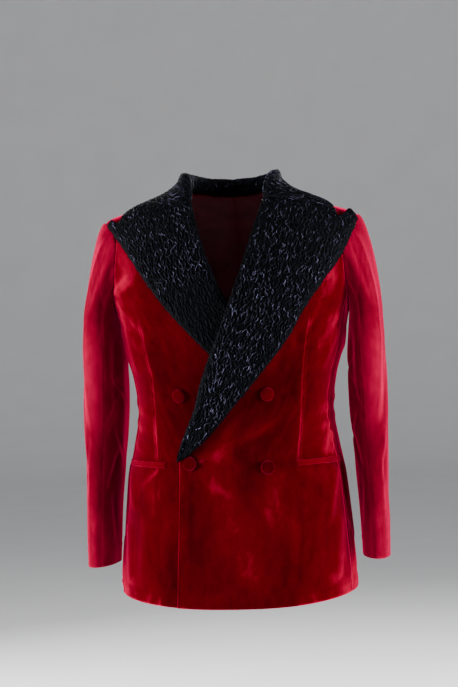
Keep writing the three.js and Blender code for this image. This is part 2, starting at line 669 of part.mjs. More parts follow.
// Cloth-covered buttons, each seated on the front that shows under it
const BUTTONS = [
  { name: 'button_upper_right', x: -86, z: -370, side: -1 },
  { name: 'button_upper_left', x: 68, z: -370, side: 1 },
  { name: 'button_closing', x: -68, z: -489, side: 1 },
  { name: 'button_lower_left', x: 66, z: -498, side: 1 },
];
const BUTTON_PROFILE = [
  [0, 0], [0.3, 0], [0.34, 0.16], [0.8, 0.16], [1, 0.36], [1, 0.6], [0.86, 0.84], [0.5, 0.98], [0, 1],
];
const BUTTON_HIGH = 7;
const BUTTON_SIDES = 14;

for (const button of BUTTONS) {
  const radius = BUTTON_DIAMETER / 2;
  const profile = BUTTON_PROFILE.map(([out, up]) => new THREE.Vector2(out * radius, up * BUTTON_HIGH));
  const geometry = new THREE.LatheGeometry(profile, BUTTON_SIDES);
  const angle = angleAcross(button.x, button.z);
  const lift = button.side > 0 ? LIFTS.left(button.x, button.z) : LIFTS.right(-button.x, button.z);
  const mesh = add(button.name, geometry, VELVET);
  mesh.position.copy(skin(angle, button.z, lift + 0.8));
  mesh.quaternion.setFromUnitVectors(new THREE.Vector3(0, 1, 0), bodyNormal(angle, button.z));
}

export default jacket;
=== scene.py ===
"""Looks of the velvet smoking jacket: every cloth and fur piece is shaped here over its solid.

Lengths inside this script are millimetres until a mesh is made. The front faces -Y, the wearer's
left is +X, and the origin lies midway between the two side-neck points.
"""

import bpy
import numpy as np
from mathutils import Matrix, Vector


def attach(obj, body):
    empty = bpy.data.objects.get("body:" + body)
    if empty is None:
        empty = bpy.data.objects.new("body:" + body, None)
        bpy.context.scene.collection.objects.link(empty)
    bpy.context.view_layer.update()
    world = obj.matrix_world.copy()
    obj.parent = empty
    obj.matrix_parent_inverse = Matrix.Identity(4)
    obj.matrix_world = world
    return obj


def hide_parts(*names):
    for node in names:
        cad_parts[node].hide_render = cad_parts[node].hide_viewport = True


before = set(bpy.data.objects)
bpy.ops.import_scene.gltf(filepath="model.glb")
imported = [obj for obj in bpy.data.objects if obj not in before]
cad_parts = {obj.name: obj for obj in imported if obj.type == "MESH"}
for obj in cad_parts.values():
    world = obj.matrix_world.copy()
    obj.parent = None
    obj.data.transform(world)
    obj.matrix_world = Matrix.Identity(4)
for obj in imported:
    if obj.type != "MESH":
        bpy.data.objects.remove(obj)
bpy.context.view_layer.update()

# The same named sizes as the solids
SHOULDER_Z = -57.0
HEM_Z = -720.0
FRONT_DIP = 20.0
SLEEVE_END_Z = {"left": -664.0, "right": -673.0}
CLOTH = 2.6
FUR = 6.5
SEAM = 1.0
LAYER = 1.2
BUTTON_DIAMETER = 23.0

# Horizontal sections of the body: height, half width, depth to the front and back, squareness
BODY = {
    "z": (0, -28, -57, -95, -140, -190, -235, -290, -340, -400, -460, -520, -600, -680, -745),
    "half": (75, 150, 228, 228.5, 225, 219, 206.5, 197, 183, 176, 185, 196, 203, 210, 213),
    "front": (44, 58, 76, 97, 114, 126, 133, 136, 134, 129, 130, 135, 141, 146, 149),
    "back": (52, 76, 96, 116, 130, 137, 137, 131, 122, 116, 120, 128, 135, 140, 142),
    "power": (2.2, 2.2, 2.25, 2.45, 2.6, 2.6, 2.5, 2.45, 2.4, 2.4, 2.4, 2.4, 2.4, 2.4, 2.4),
}
ARMHOLE = {"z": -142.5, "tall": 85.5, "front": 64.0, "back": 70.0, "power": 2.2}

# Sections of the hanging sleeve: height, reach outwards, inwards, forwards and back, and lean
SLEEVE = {
    "z": (-235, -265, -300, -345, -390, -440, -500, -580, -673),
    "outer": (269, 270.5, 272, 273, 273.5, 273, 272, 271.5, 270.5),
    "inner": (208.5, 206, 203.5, 202, 203, 206, 212, 218, 222),
    "front": (78, 76, 72, 68, 64, 63, 66, 73, 80),
    "back": (88, 91, 94, 95, 93, 86, 77, 64, 50),
    "lean": (2, 4, 6, 8, 9, 9, 8, 6, 5),
}
SLEEVE_POWER = 2.2
SLEEVE_HEAD = 0.3
SLEEVE_DROP = 0.9
SLEEVE_STAND = 1.6
SLEEVE_SEAMS = {"front": 112.0, "back": 248.0}
SEAM_TURN = 0.8

# Front edges and lapel outlines: height, and distance across from the centre
EDGE_LEFT = {
    "z": (0, -14, -34, -90, -143, -217, -300, -353, -400, -430, -464, -480, -492, -745),
    "across": (74.5, 73, 67.5, 50, 34, 10, -22, -42, -55, -68, -83, -88, -87, -96),
}
EDGE_RIGHT = {
    "z": (0, -14, -34, -132, -185, -221, -300, -400, -480, -745),
    "across": (74.5, 73, 67.5, 36, 14, -6, -30, -58, -80, -86),
}
LAPEL_LEFT = {
    "z": (-67, -84, -107, -137, -174, -234, -267, -327, -379, -442, -477, -487),
    "across": (228, 221.5, 211, 195, 169, 128, 110, 64, 20, -33, -73, -88),
}
LAPEL_RIGHT = {
    "z": (-66, -80, -108, -164, -222, -280, -300, -330),
    "across": (217, 207, 184, 145, 101, 48, 28, -2),
}
PEAK_RISE = 0.35
PEAK_SHARE = 0.8
TIP_Z = -480.0
HIDDEN_END_Z = -262.0
LAPEL_REST = 3.6
# From this far across, the lapel runs on straight, and this far back for each step across
LAPEL_TANGENT = 198.0
LAPEL_SLOPE = 0.52

# Stations of the collar from the gorge round to the middle of the back, seen from above
COLLAR = {
    "along": (0, 0.12, 0.25, 0.4, 0.55, 0.75, 0.88, 1),
    "inner_x": (67, 66, 69.5, 74, 73, 56, 33, 0),
    "inner_y": (-55, -46, -33, -9, 20, 46, 57.5, 62),
    "outer_x": (193, 180, 169, 161, 148, 110, 60, 0),
    "outer_y": (-47.5, -25, 0, 30, 60, 88, 102, 108),
    "crest": (14, 18, 23, 28, 31, 32, 32, 32),
}
COLLAR_REST = 3.4
COLLAR_STAND = 0.7
FULL_CREST = 30.0

# Drag lines in the solids: side, where each runs from and to, its width and height
DRAGS = (
    (1, (-62, -478), (35, -395), 13, 2.6),
    (1, (-50, -500), (-5, -575), 12, 2.0),
    (1, (90, -520), (60, -690), 26, 2.4),
    (1, (150, -515), (165, -690), 22, 2.6),
    (-1, (118, -500), (150, -560), 12, 2.0),
    (-1, (150, -290), (168, -200), 14, 2.2),
)
# Broad folds of the sleeves: angle, top, bottom, width and depth
SLEEVE_FOLDS = (
    (150, -250, -420, 16, 4.0),
    (200, -300, -520, 18, 4.0),
    (60, -90, -240, 15, 2.5),
    (305, -110, -330, 18, 3.0),
    (20, -420, -600, 16, 2.0),
)


def lerp(a, b, t):
    return a + (b - a) * t


def smooth(start, end, x):
    t = np.clip((x - start) / (end - start), 0.0, 1.0)
    return t * t * (3 - 2 * t)


def bell(x, wide):
    """1 where x is 0, falling away smoothly over the given width."""
    return np.exp(-((x / wide) ** 2))


def signed_power(x, p):
    return np.sign(x) * np.abs(x) ** p


def curve(table, at, column):
    """A smooth curve through a table's column that never overshoots its rows."""
    order = np.argsort(table[at])
    xs = np.array(table[at], float)[order]
    ys = np.array(table[column], float)[order]
    steps = np.diff(xs)
    slopes = np.diff(ys) / steps
    tangents = np.zeros(len(xs))
    tangents[0] = slopes[0]
    tangents[-1] = slopes[-1]
    for i in range(1, len(xs) - 1):
        if slopes[i - 1] * slopes[i] > 0:
            w1 = 2 * steps[i] + steps[i - 1]
            w2 = steps[i] + 2 * steps[i - 1]
            tangents[i] = (w1 + w2) / (w1 / slopes[i - 1] + w2 / slopes[i])

    def value(x):
        x = np.clip(np.asarray(x, float), xs[0], xs[-1])
        i = np.clip(np.searchsorted(xs, x) - 1, 0, len(steps) - 1)
        t = (x - xs[i]) / steps[i]
        s = 1 - t
        return ((1 + 2 * t) * s * s * ys[i] + t * s * s * steps[i] * tangents[i]
                + t * t * (3 - 2 * t) * ys[i + 1] - t * t * s * steps[i] * tangents[i + 1])

    return value


def through(stops, values):
    """A smooth curve that takes each value at its stop."""
    return curve({"t": stops, "v": values}, "t", "v")


body_half = curve(BODY, "z", "half")
body_front = curve(BODY, "z", "front")
body_back = curve(BODY, "z", "back")
body_power = curve(BODY, "z", "power")


def body_point(angle, z):
    """Skin of the body: 90 degrees is the front, 0 the wearer's left side, -90 the back."""
    angle, z = np.broadcast_arrays(np.asarray(angle, float), np.asarray(z, float))
    share = 2 / body_power(z)
    depth = np.where(angle >= 0, body_front(z), body_back(z))
    x = body_half(z) * signed_power(np.cos(np.radians(angle)), share)
    y = -depth * signed_power(np.sin(np.radians(angle)), share)
    return np.stack([x, y, z], -1)


def unit(v):
    return v / np.maximum(np.linalg.norm(v, axis=-1, keepdims=True), 1e-9)


def body_normal(angle, z):
    angle, z = np.broadcast_arrays(np.asarray(angle, float), np.asarray(z, float))
    around = body_point(angle + 1.5, z) - body_point(angle - 1.5, z)
    down = body_point(angle, z - 1.5) - body_point(angle, np.minimum(z + 1.5, 0))
    normal = unit(np.cross(down, around))
    point = body_point(angle, z)
    facing = normal[..., 0] * point[..., 0] + normal[..., 1] * point[..., 1] + 30 * normal[..., 2]
    return np.where(facing[..., None] < 0, -normal, normal)


def skin(angle, z, lift):
    return body_point(angle, z) + body_normal(angle, z) * np.asarray(lift, float)[..., None]


def angle_across(x, z):
    share = np.clip(np.abs(x) / body_half(z), 0, 0.997)
    angle = np.degrees(np.arccos(share ** (body_power(z) / 2)))
    return np.where(np.asarray(x) < 0, 180 - angle, angle)


def angle_forward(y, z):
    depth = np.where(np.asarray(y) >= 0, body_front(z), body_back(z))
    share = np.clip(np.abs(y) / depth, 0, 1)
    return np.sign(y) * np.degrees(np.arcsin(share ** (body_power(z) / 2)))


def height_under(x, y):
    high = np.zeros(np.broadcast(x, y).shape)
    low = np.full_like(high, -140.0)
    for _ in range(34):
        z = (high + low) / 2
        depth = np.where(np.asarray(y) <= 0, body_front(z), body_back(z))
        p = body_power(z)
        outside = (np.abs(x) / body_half(z)) ** p + (np.abs(y) / depth) ** p > 1
        high = np.where(outside, z, high)
        low = np.where(outside, low, z)
    return (high + low) / 2


def shoulder_skin(x, y, lift):
    z = height_under(x, y)
    return skin(angle_forward(-np.asarray(y), z), z, lift)


def armhole_reach(z, widest):
    share = np.clip(np.abs(z - ARMHOLE["z"]) / ARMHOLE["tall"], 0, 1)
    return widest * (1 - share ** ARMHOLE["power"]) ** (1 / ARMHOLE["power"])


def hemmed(z, angle):
    dip = -FRONT_DIP * np.maximum(0, np.sin(np.radians(angle))) ** 1.5
    return z + dip * smooth(-560, HEM_Z, z)


def hashed(i, j, seed):
    """A repeatable number from -1 to 1 for each pair of whole numbers."""
    n = (i.astype(np.int64) * 374761393 + j.astype(np.int64) * 668265263 + seed * 974711) & 0xFFFFFFFF
    n = ((n ^ (n >> 13)) * 1274126177) & 0xFFFFFFFF
    return ((n ^ (n >> 16)) & 0xFFFF) / 32767.5 - 1


def noise(x, y, seed=1):
    """Smooth noise from -1 to 1 with one cell a unit."""
    i, j = np.floor(x), np.floor(y)
    fx, fy = x - i, y - j
    fx, fy = fx * fx * (3 - 2 * fx), fy * fy * (3 - 2 * fy)
    near = lerp(hashed(i, j, seed), hashed(i + 1, j, seed), fx)
    far = lerp(hashed(i, j + 1, seed), hashed(i + 1, j + 1, seed), fx)
    return lerp(near, far, fy)


def bar(x, z, start, end, wide):
    """One soft ridge between two points, from 0 to 1."""
    length = np.hypot(end[0] - start[0], end[1] - start[1])
    ax, az = (end[0] - start[0]) / length, (end[1] - start[1]) / length
    along = (x - start[0]) * ax + (z - start[1]) * az
    off = (x - start[0]) * az - (z - start[1]) * ax
    fade = smooth(-wide, wide, along) * (1 - smooth(length - 2 * wide, length + wide, along))
    return fade * bell(off, wide)


def drag_height(side, x, z):
    return sum(high * bar(x, z, a, b, wide) for which, a, b, wide, high in DRAGS if which == side)


# Where the lapels cross: its place across and in height, its half width and height, and the lift
CROSSING = (-4.0, -272.0, 52.0, 80.0, 5.6)


def left_lift(x, z):
    """How far the wearer's left front stands off the body, over the right one and its lapel."""
    lap = (CLOTH + LAYER) * (1 - smooth(96, 165, x)) * smooth(-140, -200, z)
    cx, cz, wide, tall, high = CROSSING
    away = np.hypot((x - cx) / wide, (z - cz) / tall)
    return lap + high * (1 - smooth(0.75, 1.9, away)) * smooth(-135, -196, z)


LIFTS = {
    "left": lambda x, z: left_lift(x, z) + drag_height(1, x, z),
    "right": lambda x, z: drag_height(-1, x, z),
}
EDGES = {"left": curve(EDGE_LEFT, "z", "across"), "right": curve(EDGE_RIGHT, "z", "across")}


# Meshes

def grid_normals(points, like=None):
    down = np.gradient(points, axis=0)
    across = np.gradient(points, axis=1)
    normal = unit(np.cross(down, across))
    if like is not None and (normal * like).sum() < 0:
        normal = -normal
    return normal


def border(rows, columns):
    """Row and column of each border point in turn, and of its neighbour further in."""
    top = [(0, c, 1, c) for c in range(columns - 1)]
    right = [(r, columns - 1, r, columns - 2) for r in range(rows - 1)]
    bottom = [(rows - 1, c, rows - 2, c) for c in range(columns - 1, 0, -1)]
    left = [(r, 0, r, 1) for r in range(rows - 1, 0, -1)]
    return np.array(top + right + bottom + left)


def under_faces(rows, columns, step):
    """Faces of the plain inner side: wide cells that meet every point of the border."""
    row_stops = sorted({*range(0, rows, step), rows - 1})
    column_stops = sorted({*range(0, columns, step), columns - 1})
    faces = []
    for r0, r1 in zip(row_stops[:-1], row_stops[1:]):
        for c0, c1 in zip(column_stops[:-1], column_stops[1:]):
            path = [(r0, c) for c in (range(c0, c1) if r0 == 0 else [c0])]
            path += [(r, c1) for r in (range(r0, r1) if c1 == columns - 1 else [r0])]
            path += [(r1, c) for c in (range(c1, c0, -1) if r1 == rows - 1 else [c1])]
            path += [(r, c0) for r in (range(r1, r0, -1) if c0 == 0 else [r1])]
            faces.append([r * columns + c for r, c in path])
    return faces


def placed(name, data):
    made = bpy.data.objects.new(name, data)
    bpy.context.scene.collection.objects.link(made)
    return made


def build_mesh(name, points, faces, slots, uv, materials, raised=None):
    """Makes the object from faces of any number of corners."""
    loops = np.concatenate([np.asarray(f, int) for f in faces])
    used, loops = np.unique(loops, return_inverse=True)
    mesh = bpy.data.meshes.new(name)
    mesh.vertices.add(len(used))
    mesh.vertices.foreach_set("co", points[used].ravel())
    mesh.loops.add(len(loops))
    mesh.loops.foreach_set("vertex_index", loops)
    sizes = np.array([len(f) for f in faces])
    mesh.polygons.add(len(faces))
    mesh.polygons.foreach_set("loop_start", np.concatenate([[0], np.cumsum(sizes)[:-1]]))
    mesh.polygons.foreach_set("material_index", slots)
    layer = mesh.uv_layers.new(name="cloth")
    layer.data.foreach_set("uv", (uv[used] / 1000)[loops].ravel())
    # The 'raised' attribute carries painted light: the velvet's painted highlight, and the fur's curl height
    # that paints crests light and hollows dark
    if raised is not None:
        mesh.attributes.new("raised", "FLOAT", "POINT").data.foreach_set("value", raised[used])
    mesh.update(calc_edges=True)
    mesh.validate()
    mesh.shade_smooth()
    for each in materials:
        mesh.materials.append(each)
    return placed(name, mesh)


def slab(name, outer, inner, uv, materials, mirror=False, rounding=0.8, raised=None, step=3):
    """A piece of cloth between two grids of points, with a rounded edge all round."""
    rows, columns = outer.shape[:2]
    edge = border(rows, columns)
    out_edge = outer[edge[:, 0], edge[:, 1]]
    in_edge = inner[edge[:, 0], edge[:, 1]]
    away = unit(out_edge - outer[edge[:, 2], edge[:, 3]])
    middle = (out_edge + in_edge) / 2 + away * np.reshape(rounding, (-1, 1))
    points = np.concatenate([outer.reshape(-1, 3), inner.reshape(-1, 3), middle]) / 1000
    if mirror:
        points = points * (-1, 1, 1)
    count = rows * columns
    index = np.arange(count).reshape(rows, columns)
    top = np.stack([index[:-1, :-1], index[1:, :-1], index[1:, 1:], index[:-1, 1:]], -1).reshape(-1, 4)
    ring = index[edge[:, 0], edge[:, 1]]
    nxt = np.roll(ring, -1)
    mid = 2 * count + np.arange(len(ring))
    mid_next = np.roll(mid, -1)
    rim = np.concatenate([np.stack([ring, nxt, mid_next, mid], -1),
                          np.stack([mid, mid_next, nxt + count, ring + count], -1)])
    under = [[i + count for i in face] for face in under_faces(rows, columns, step)]
    turned = np.cross(points[top[:, 2]] - points[top[:, 0]], points[top[:, 3]] - points[top[:, 1]])
    faces = [*top, *rim, *under]
    if (turned * (points[top[:, 0]] - points[top[:, 0] + count])).sum() < 0:
        faces = [face[::-1] for face in faces]
    slots = np.zeros(len(faces), int)
    slots[len(top) + len(rim):] = len(materials) - 1
    flat = uv.reshape(-1, 2)
    uv = np.concatenate([flat, flat, flat[ring]])
    # The rounded border takes most of the painted light, the inner face none
    if raised is not None:
        raised = np.concatenate([raised.ravel(), raised.ravel() * 0, raised.ravel()[ring] * 0.8])
    return build_mesh(name, points, faces, slots, uv, materials, raised)


def arc_uv(points, u_start=0.0, v_start=0.0):
    """Real distances over a grid, in millimetres: across each row and down its middle column."""
    u = np.zeros(points.shape[:2])
    u[:, 1:] = np.cumsum(np.linalg.norm(np.diff(points, axis=1), axis=-1), axis=1)
    middle = points[:, points.shape[1] // 2]
    v = np.zeros(points.shape[0])
    v[1:] = np.cumsum(np.linalg.norm(np.diff(middle, axis=0), axis=-1))
    return np.stack([u + u_start, np.broadcast_to(-v[:, None], u.shape) + v_start], -1)


def slope(points, relief, axis):
    """Rise of the relief for each millimetre along one axis of the grid."""
    run = np.linalg.norm(np.gradient(points, axis=axis), axis=-1)
    return np.gradient(relief, axis=axis) / np.maximum(run, 0.3)


def painted_fold_highlight(points, relief, at_edge=0.3):
    """How steeply the folds turn, plus a band along the border, 0 to 1: a painted highlight that brightens
    the velvet there.
    """
    across_share, down_share, blurs = 2.0, 1.2, 5
    steep = across_share * np.abs(slope(points, relief, 1)) + down_share * np.abs(slope(points, relief, 0))
    steep = np.clip(steep, 0, 1)
    for _ in range(blurs):
        steep[1:-1, 1:-1] = (steep[:-2, 1:-1] + steep[2:, 1:-1] + steep[1:-1, :-2] + steep[1:-1, 2:]) / 4
    # painted highlight along every edge of the piece
    rim = np.ones(steep.shape)
    rim[1:-1, 1:-1] = 0
    return np.clip(steep + at_edge * rim, 0, 1)


def dress(piece, node):
    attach(piece, "root")
    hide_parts(*([node] if isinstance(node, str) else node))


# Materials

def feed(tree, made, values):
    """Sets a node's inputs and settings, and links each whose value is another node's output."""
    for key, value in values.items():
        if isinstance(value, bpy.types.NodeSocket):
            tree.links.new(value, made.inputs[key])
        elif key in made.inputs:
            made.inputs[key].default_value = value
        else:
            setattr(made, key, value)
    return made


def node(tree, kind, **values):
    return feed(tree, tree.nodes.new("ShaderNode" + kind), values)


def material(name, coordinates="UV"):
    made = bpy.data.materials.new(name)
    made.use_nodes = True
    tree = made.node_tree
    place = node(tree, "TexCoord").outputs[coordinates]
    return made, tree, tree.nodes["Principled BSDF"], place


def ramp(tree, source, stops):
    made = node(tree, "ValToRGB", Fac=source)
    elements = made.color_ramp.elements
    for i, (place, colour) in enumerate(stops):
        element = elements[i] if i < 2 else elements.new(place)
        element.position = place
        element.color = (*colour, 1)
    return made.outputs["Color"]


def scaled(tree, source, scale):
    return node(tree, "Mapping", Scale=scale, Vector=source).outputs["Vector"]


def noise_map(tree, place, **values):
    return node(tree, "TexNoise", Vector=place, **values).outputs["Fac"]


def attribute(tree, name):
    return node(tree, "Attribute", attribute_name=name).outputs["Fac"]


def multiply(tree, source, factor, plus=None):
    made = node(tree, "Math", operation="MULTIPLY" if plus is None else "MULTIPLY_ADD")
    tree.links.new(source, made.inputs[0])
    made.inputs[1].default_value = factor
    if plus is not None:
        tree.links.new(plus, made.inputs[2])
    return made.outputs[0]


def between(tree, source, low, high):
    return node(tree, "MapRange", **{"Value": source, "To Min": low, "To Max": high}).outputs["Result"]


def bump(tree, **values):
    return node(tree, "Bump", **values).outputs["Normal"]


def velvet(name, deep, bright, painted_highlight_colour, sheen):
    """Cotton velvet: pile that is dark red face on and lights up at grazing angles."""
    made, tree, shader, uv = material(name)
    wide, close = scaled(tree, uv, (1, 0.5, 1)), scaled(tree, uv, (1.4, 0.7, 1))
    patches = noise_map(tree, wide, Scale=9.0, Detail=3.0, Roughness=0.5, Distortion=0.6)
    brushed = noise_map(tree, close, Scale=55.0, Detail=3.0, Roughness=0.5, Distortion=0.4)
    pile = noise_map(tree, uv, Scale=1700.0, Detail=2.0, Roughness=0.7)
    nap = multiply(tree, brushed, 0.24, multiply(tree, patches, 0.76))
    # The nap varies the colour at random; the 'raised' attribute adds a painted highlight on top
    nap_and_painted_highlight = multiply(tree, attribute(tree, "raised"), 0.3, nap)
    colours = ramp(tree, nap_and_painted_highlight, [(0.36, deep), (0.66, bright), (1.0, painted_highlight_colour)])
    speckle = ramp(tree, pile, [(0.3, (0.7, 0.7, 0.7)), (0.7, (1.15, 1.15, 1.15))])
    mixed = node(tree, "Mix", data_type="RGBA", blend_type="MULTIPLY", Factor=0.8, A=colours, B=speckle)
    fine = bump(tree, Strength=0.5, Distance=0.0004, Height=pile)
    feed(tree, shader, {
        "Base Color": mixed.outputs["Result"],
        "Roughness": between(tree, brushed, 0.6, 0.92),
        "Normal": bump(tree, Strength=0.6, Distance=0.0016, Height=nap, Normal=fine),
        "Specular IOR Level": 0.0,
        "Sheen Weight": 0.8,
        "Sheen Roughness": 0.36,
        "Sheen Tint": (*sheen, 1),
    })
    return made


def curled_fur(name):
    """Black lamb fur: crests with fine hairs along them carry a painted highlight; between them lies painted
    shade, dull and dark.
    """
    made, tree, shader, uv = material(name)
    along = scaled(tree, uv, (1.5, 0.7, 1))
    hairs = noise_map(tree, along, Scale=520.0, Detail=3.0, Roughness=0.7, Distortion=1.2)
    tufts = noise_map(tree, uv, Scale=60.0, Detail=3.0, Roughness=0.6)
    # The curl height paints the crests light and the hollows dark: painted highlight and painted shade
    crest = multiply(tree, attribute(tree, "raised"), 0.8)
    painted_hollow_shade, flank, painted_crest_highlight = (0.0002, 0.0002, 0.0003), (0.0016, 0.0016, 0.003), (0.13, 0.13, 0.22)
    shade = multiply(tree, hairs, 0.24, crest)
    feed(tree, shader, {
        "Base Color": ramp(tree, shade, [(0.3, painted_hollow_shade), (0.7, flank), (0.97, painted_crest_highlight)]),
        "Roughness": between(tree, tufts, 0.45, 0.7),
        "Normal": bump(tree, Strength=0.8, Distance=0.0007, Height=hairs),
        "Specular IOR Level": 0.03,
        "Specular Tint": (0.78, 0.8, 1.0, 1),
    })
    return made


def reverse_side(name, deep, bright):
    """The inside of the cloth: a plain close twill."""
    made, tree, shader, uv = material(name)
    twill = node(tree, "TexWave", Scale=420.0, Distortion=0.6, Detail=1.0, Vector=uv)
    twill.bands_direction = "DIAGONAL"
    soft = noise_map(tree, uv, Scale=28.0, Detail=4.0)
    feed(tree, shader, {
        "Base Color": ramp(tree, soft, [(0.3, deep), (0.7, bright)]),
        "Roughness": 0.6,
        "Normal": bump(tree, Strength=0.4, Distance=0.0003, Height=twill.outputs["Fac"]),
        "Specular IOR Level": 0.12,
    })
    return made


# Each velvet: its colour face on, where the painted highlight begins, where the painted highlight is
# strongest, and its sheen's.
# The real jacket is one cloth. The sleeves' lighter colour is painted light, only to match the photograph's
# brightness.
VELVET = velvet("crimson_velvet", (0.013, 0.0001, 0.0004), (0.05, 0.0002, 0.0018),
                (0.29, 0.0004, 0.022), (1.0, 0.002, 0.12))
VELVET_SLEEVE_PAINTED_LIGHT = velvet("crimson_velvet_sleeve_painted_light", (0.034, 0.0001, 0.0022), (0.1, 0.0002, 0.0075),
                       (0.28, 0.0004, 0.026), (1.0, 0.002, 0.12))
# A lighter copy of the same velvet, for the hip welts and the buttonhole
LIGHTER_VELVET = velvet("crimson_velvet_lighter", (0.026, 0.0001, 0.001), (0.09, 0.0003, 0.0036),
              (0.4, 0.001, 0.028), (1.0, 0.004, 0.12))
REVERSE = reverse_side("wine_reverse", (0.04, 0.003, 0.007), (0.085, 0.006, 0.013))
FUR_BLACK = curled_fur("black_curled_fur")
FUR_BACK = reverse_side("fur_skin_cover", (0.006, 0.006, 0.007), (0.014, 0.014, 0.016))


# Fronts, backs and side bodies

SIDE_SEAM = {"front": 50.0, "back": 58.0}

# Finer creases of each front: from, to, width and height
CREASES = {
    "left": (
        ((-52, -486), (70, -420), 6, 1.7), ((-44, -492), (10, -478), 4, 1.2),
        ((-50, -498), (-16, -548), 5, 1.6), ((-58, -500), (-48, -590), 7, 1.0),
        ((-20, -560), (10, -650), 10, 1.0), ((30, -440), (112, -392), 9, 1.1),
        ((84, -505), (70, -600), 8, 1.3), ((112, -498), (140, -505), 5, 1.2),
        ((124, -510), (168, -516), 6, 1.3), ((166, -448), (162, -484), 2.6, 1.7),
        ((174, -440), (172, -484), 2.8, 2.0), ((182, -452), (182, -486), 2.6, 1.8),
        ((180, -505), (166, -600), 6, 2.4), ((150, -560), (140, -690), 12, 1.8),
        ((184, -590), (178, -700), 8, 2.2), ((20, -600), (45, -712), 16, 1.7),
        ((100, -590), (92, -712), 13, 1.5), ((186, -235), (152, -300), 7, 1.8),
        ((190, -262), (160, -330), 5, 1.3), ((176, -395), (136, -408), 6, 1.3),
        ((174, -425), (140, -432), 5, 1.1), ((84, -236), (120, -300), 9, 1.0),
        ((-76, -520), (-84, -640), 7, 0.9), ((160, -208), (128, -262), 8, 1.3),
        ((104, -262), (60, -330), 12, 1.0), ((178, -468), (128, -452), 8, 1.0),
        ((177, -156), (174, -206), 2.2, 1.1), ((185, -160), (183, -200), 2.2, 1.0),
    ),
    "right": (
        ((122, -500), (160, -535), 6, 1.4), ((128, -512), (135, -600), 9, 1.1),
        ((186, -500), (178, -570), 7, 1.6), ((150, -585), (158, -706), 14, 1.7),
        ((205, -188), (172, -158), 5, 2.0), ((200, -200), (140, -262), 8, 1.6),
        ((194, -222), (158, -286), 7, 1.4), ((184, -250), (164, -330), 6, 1.1),
        ((160, -200), (96, -290), 11, 1.2), ((172, -392), (140, -405), 6, 1.3),
        ((176, -420), (142, -430), 5, 1.3), ((120, -380), (66, -330), 12, 1.0),
        ((104, -560), (112, -690), 12, 1.2), ((176, -455), (150, -470), 5, 1.2),
        ((190, -600), (186, -705), 8, 1.5),
    ),
}
# Darts: line down each front
DARTS = {
    "left": {"z": (-236, -300, -348, -420, -486), "across": (145, 135, 129, 124, 118)},
    "right": {"z": (-240, -300, -341, -420, -482), "across": (152, 146, 137, 134, 131)},
}
LAPELS = {"left": LAPEL_LEFT, "right": LAPEL_RIGHT}
# Hip pockets: distance across of the inner end, and height
POCKETS = {"left": (114, -491), "right": (119, -488)}
# How many times deeper the creases are made than their tables say
CREASE_GAIN = {"front": 1.9, "back": 1.6, "side": 1.3, "sleeve": 1.5}
# How far the inner face follows the folds
INNER_FOLLOW = 0.6


def seam_groove(distance, wide, deep):
    """A sewn line: a narrow groove between two slightly raised shoulders."""
    shoulder = 0.35 * deep * bell(np.abs(distance) - 2.6 * wide, wide)
    return -deep * bell(distance, wide) + shoulder


# Height of the sewn line above the edge of the hem
HEM_LINE = 17


def hem_relief(x, height):
    """The turned-up hem: a sewn line above a slightly fuller edge."""
    line = height - HEM_LINE
    ripple = 0.8 * noise(x / 7, height / 11, 8) * bell(height - 9, 9)
    return 0.6 * bell(line, 3) - 0.9 * bell(line - 4.5, 2.4) + ripple


def front_relief(side, x, z, edge):
    relief = CREASE_GAIN["front"] * sum(high * bar(x, z, a, b, wide) for a, b, wide, high in CREASES[side])
    relief = relief + 0.6 * noise(x / 46, z / 70, 3) + 0.14 * noise(x / 18, z / 28, 4)
    inner, level = POCKETS[side]
    over = smooth(inner - 14, inner + 2, x)
    mouth = np.exp(-(((z - level) / 9) ** 4)) * over
    relief = relief * (1 - 0.85 * mouth)
    relief = relief + over * 0.6 * noise(x / 6, z / 8, 12) * bell(np.abs(z - level) - 11, 6)
    dart = curve(DARTS[side], "z", "across")
    top, bottom = DARTS[side]["z"][0], DARTS[side]["z"][-1]
    within = smooth(top + 8, top - 14, z) * smooth(bottom - 1, bottom + 2, z)
    off = x - dart(z)
    pucker = 0.3 * np.sin(z / 2.7 + 2 * noise(z / 17, z * 0, 5)) * bell(off, 4.5)
    relief = relief + within * (seam_groove(off, 1.1, 1.3) + pucker)
    if side == "left":
        free = smooth(-474, -492, z)
        from_edge = x - edge
        ripple = 0.8 * np.sin(z / 1.7 + 3 * noise(z / 15, z * 0, 6)) * bell(from_edge - 8, 4.5)
        line = -0.5 * bell(from_edge - 15, 2.5) + 0.6 * bell(from_edge - 1.2, 1.6)
        relief = relief + free * (ripple + line)
    return relief


# Strength of the painted light on the sides of the body
PAINTED_FLANK_LIGHT = 0.45


def painted_flank_light(x):
    """Painted light: brightens the velvet towards the sides, by as much as matches the photograph's
    brightness there.
    """
    return PAINTED_FLANK_LIGHT * smooth(100, 195, x)


def outer_angle(z, facing):
    gap = SEAM / 2
    widest = ARMHOLE["front"] if facing > 0 else ARMHOLE["back"]
    seam = SIDE_SEAM["front"] if facing > 0 else SIDE_SEAM["back"]
    hole = armhole_reach(z, widest) + gap
    reach = np.where(z < ARMHOLE["z"], np.maximum(hole, seam + gap), hole)
    on_side = angle_forward(facing * reach, z)
    return np.where(z > SHOULDER_Z - 0.01, facing * gap / 2, on_side)


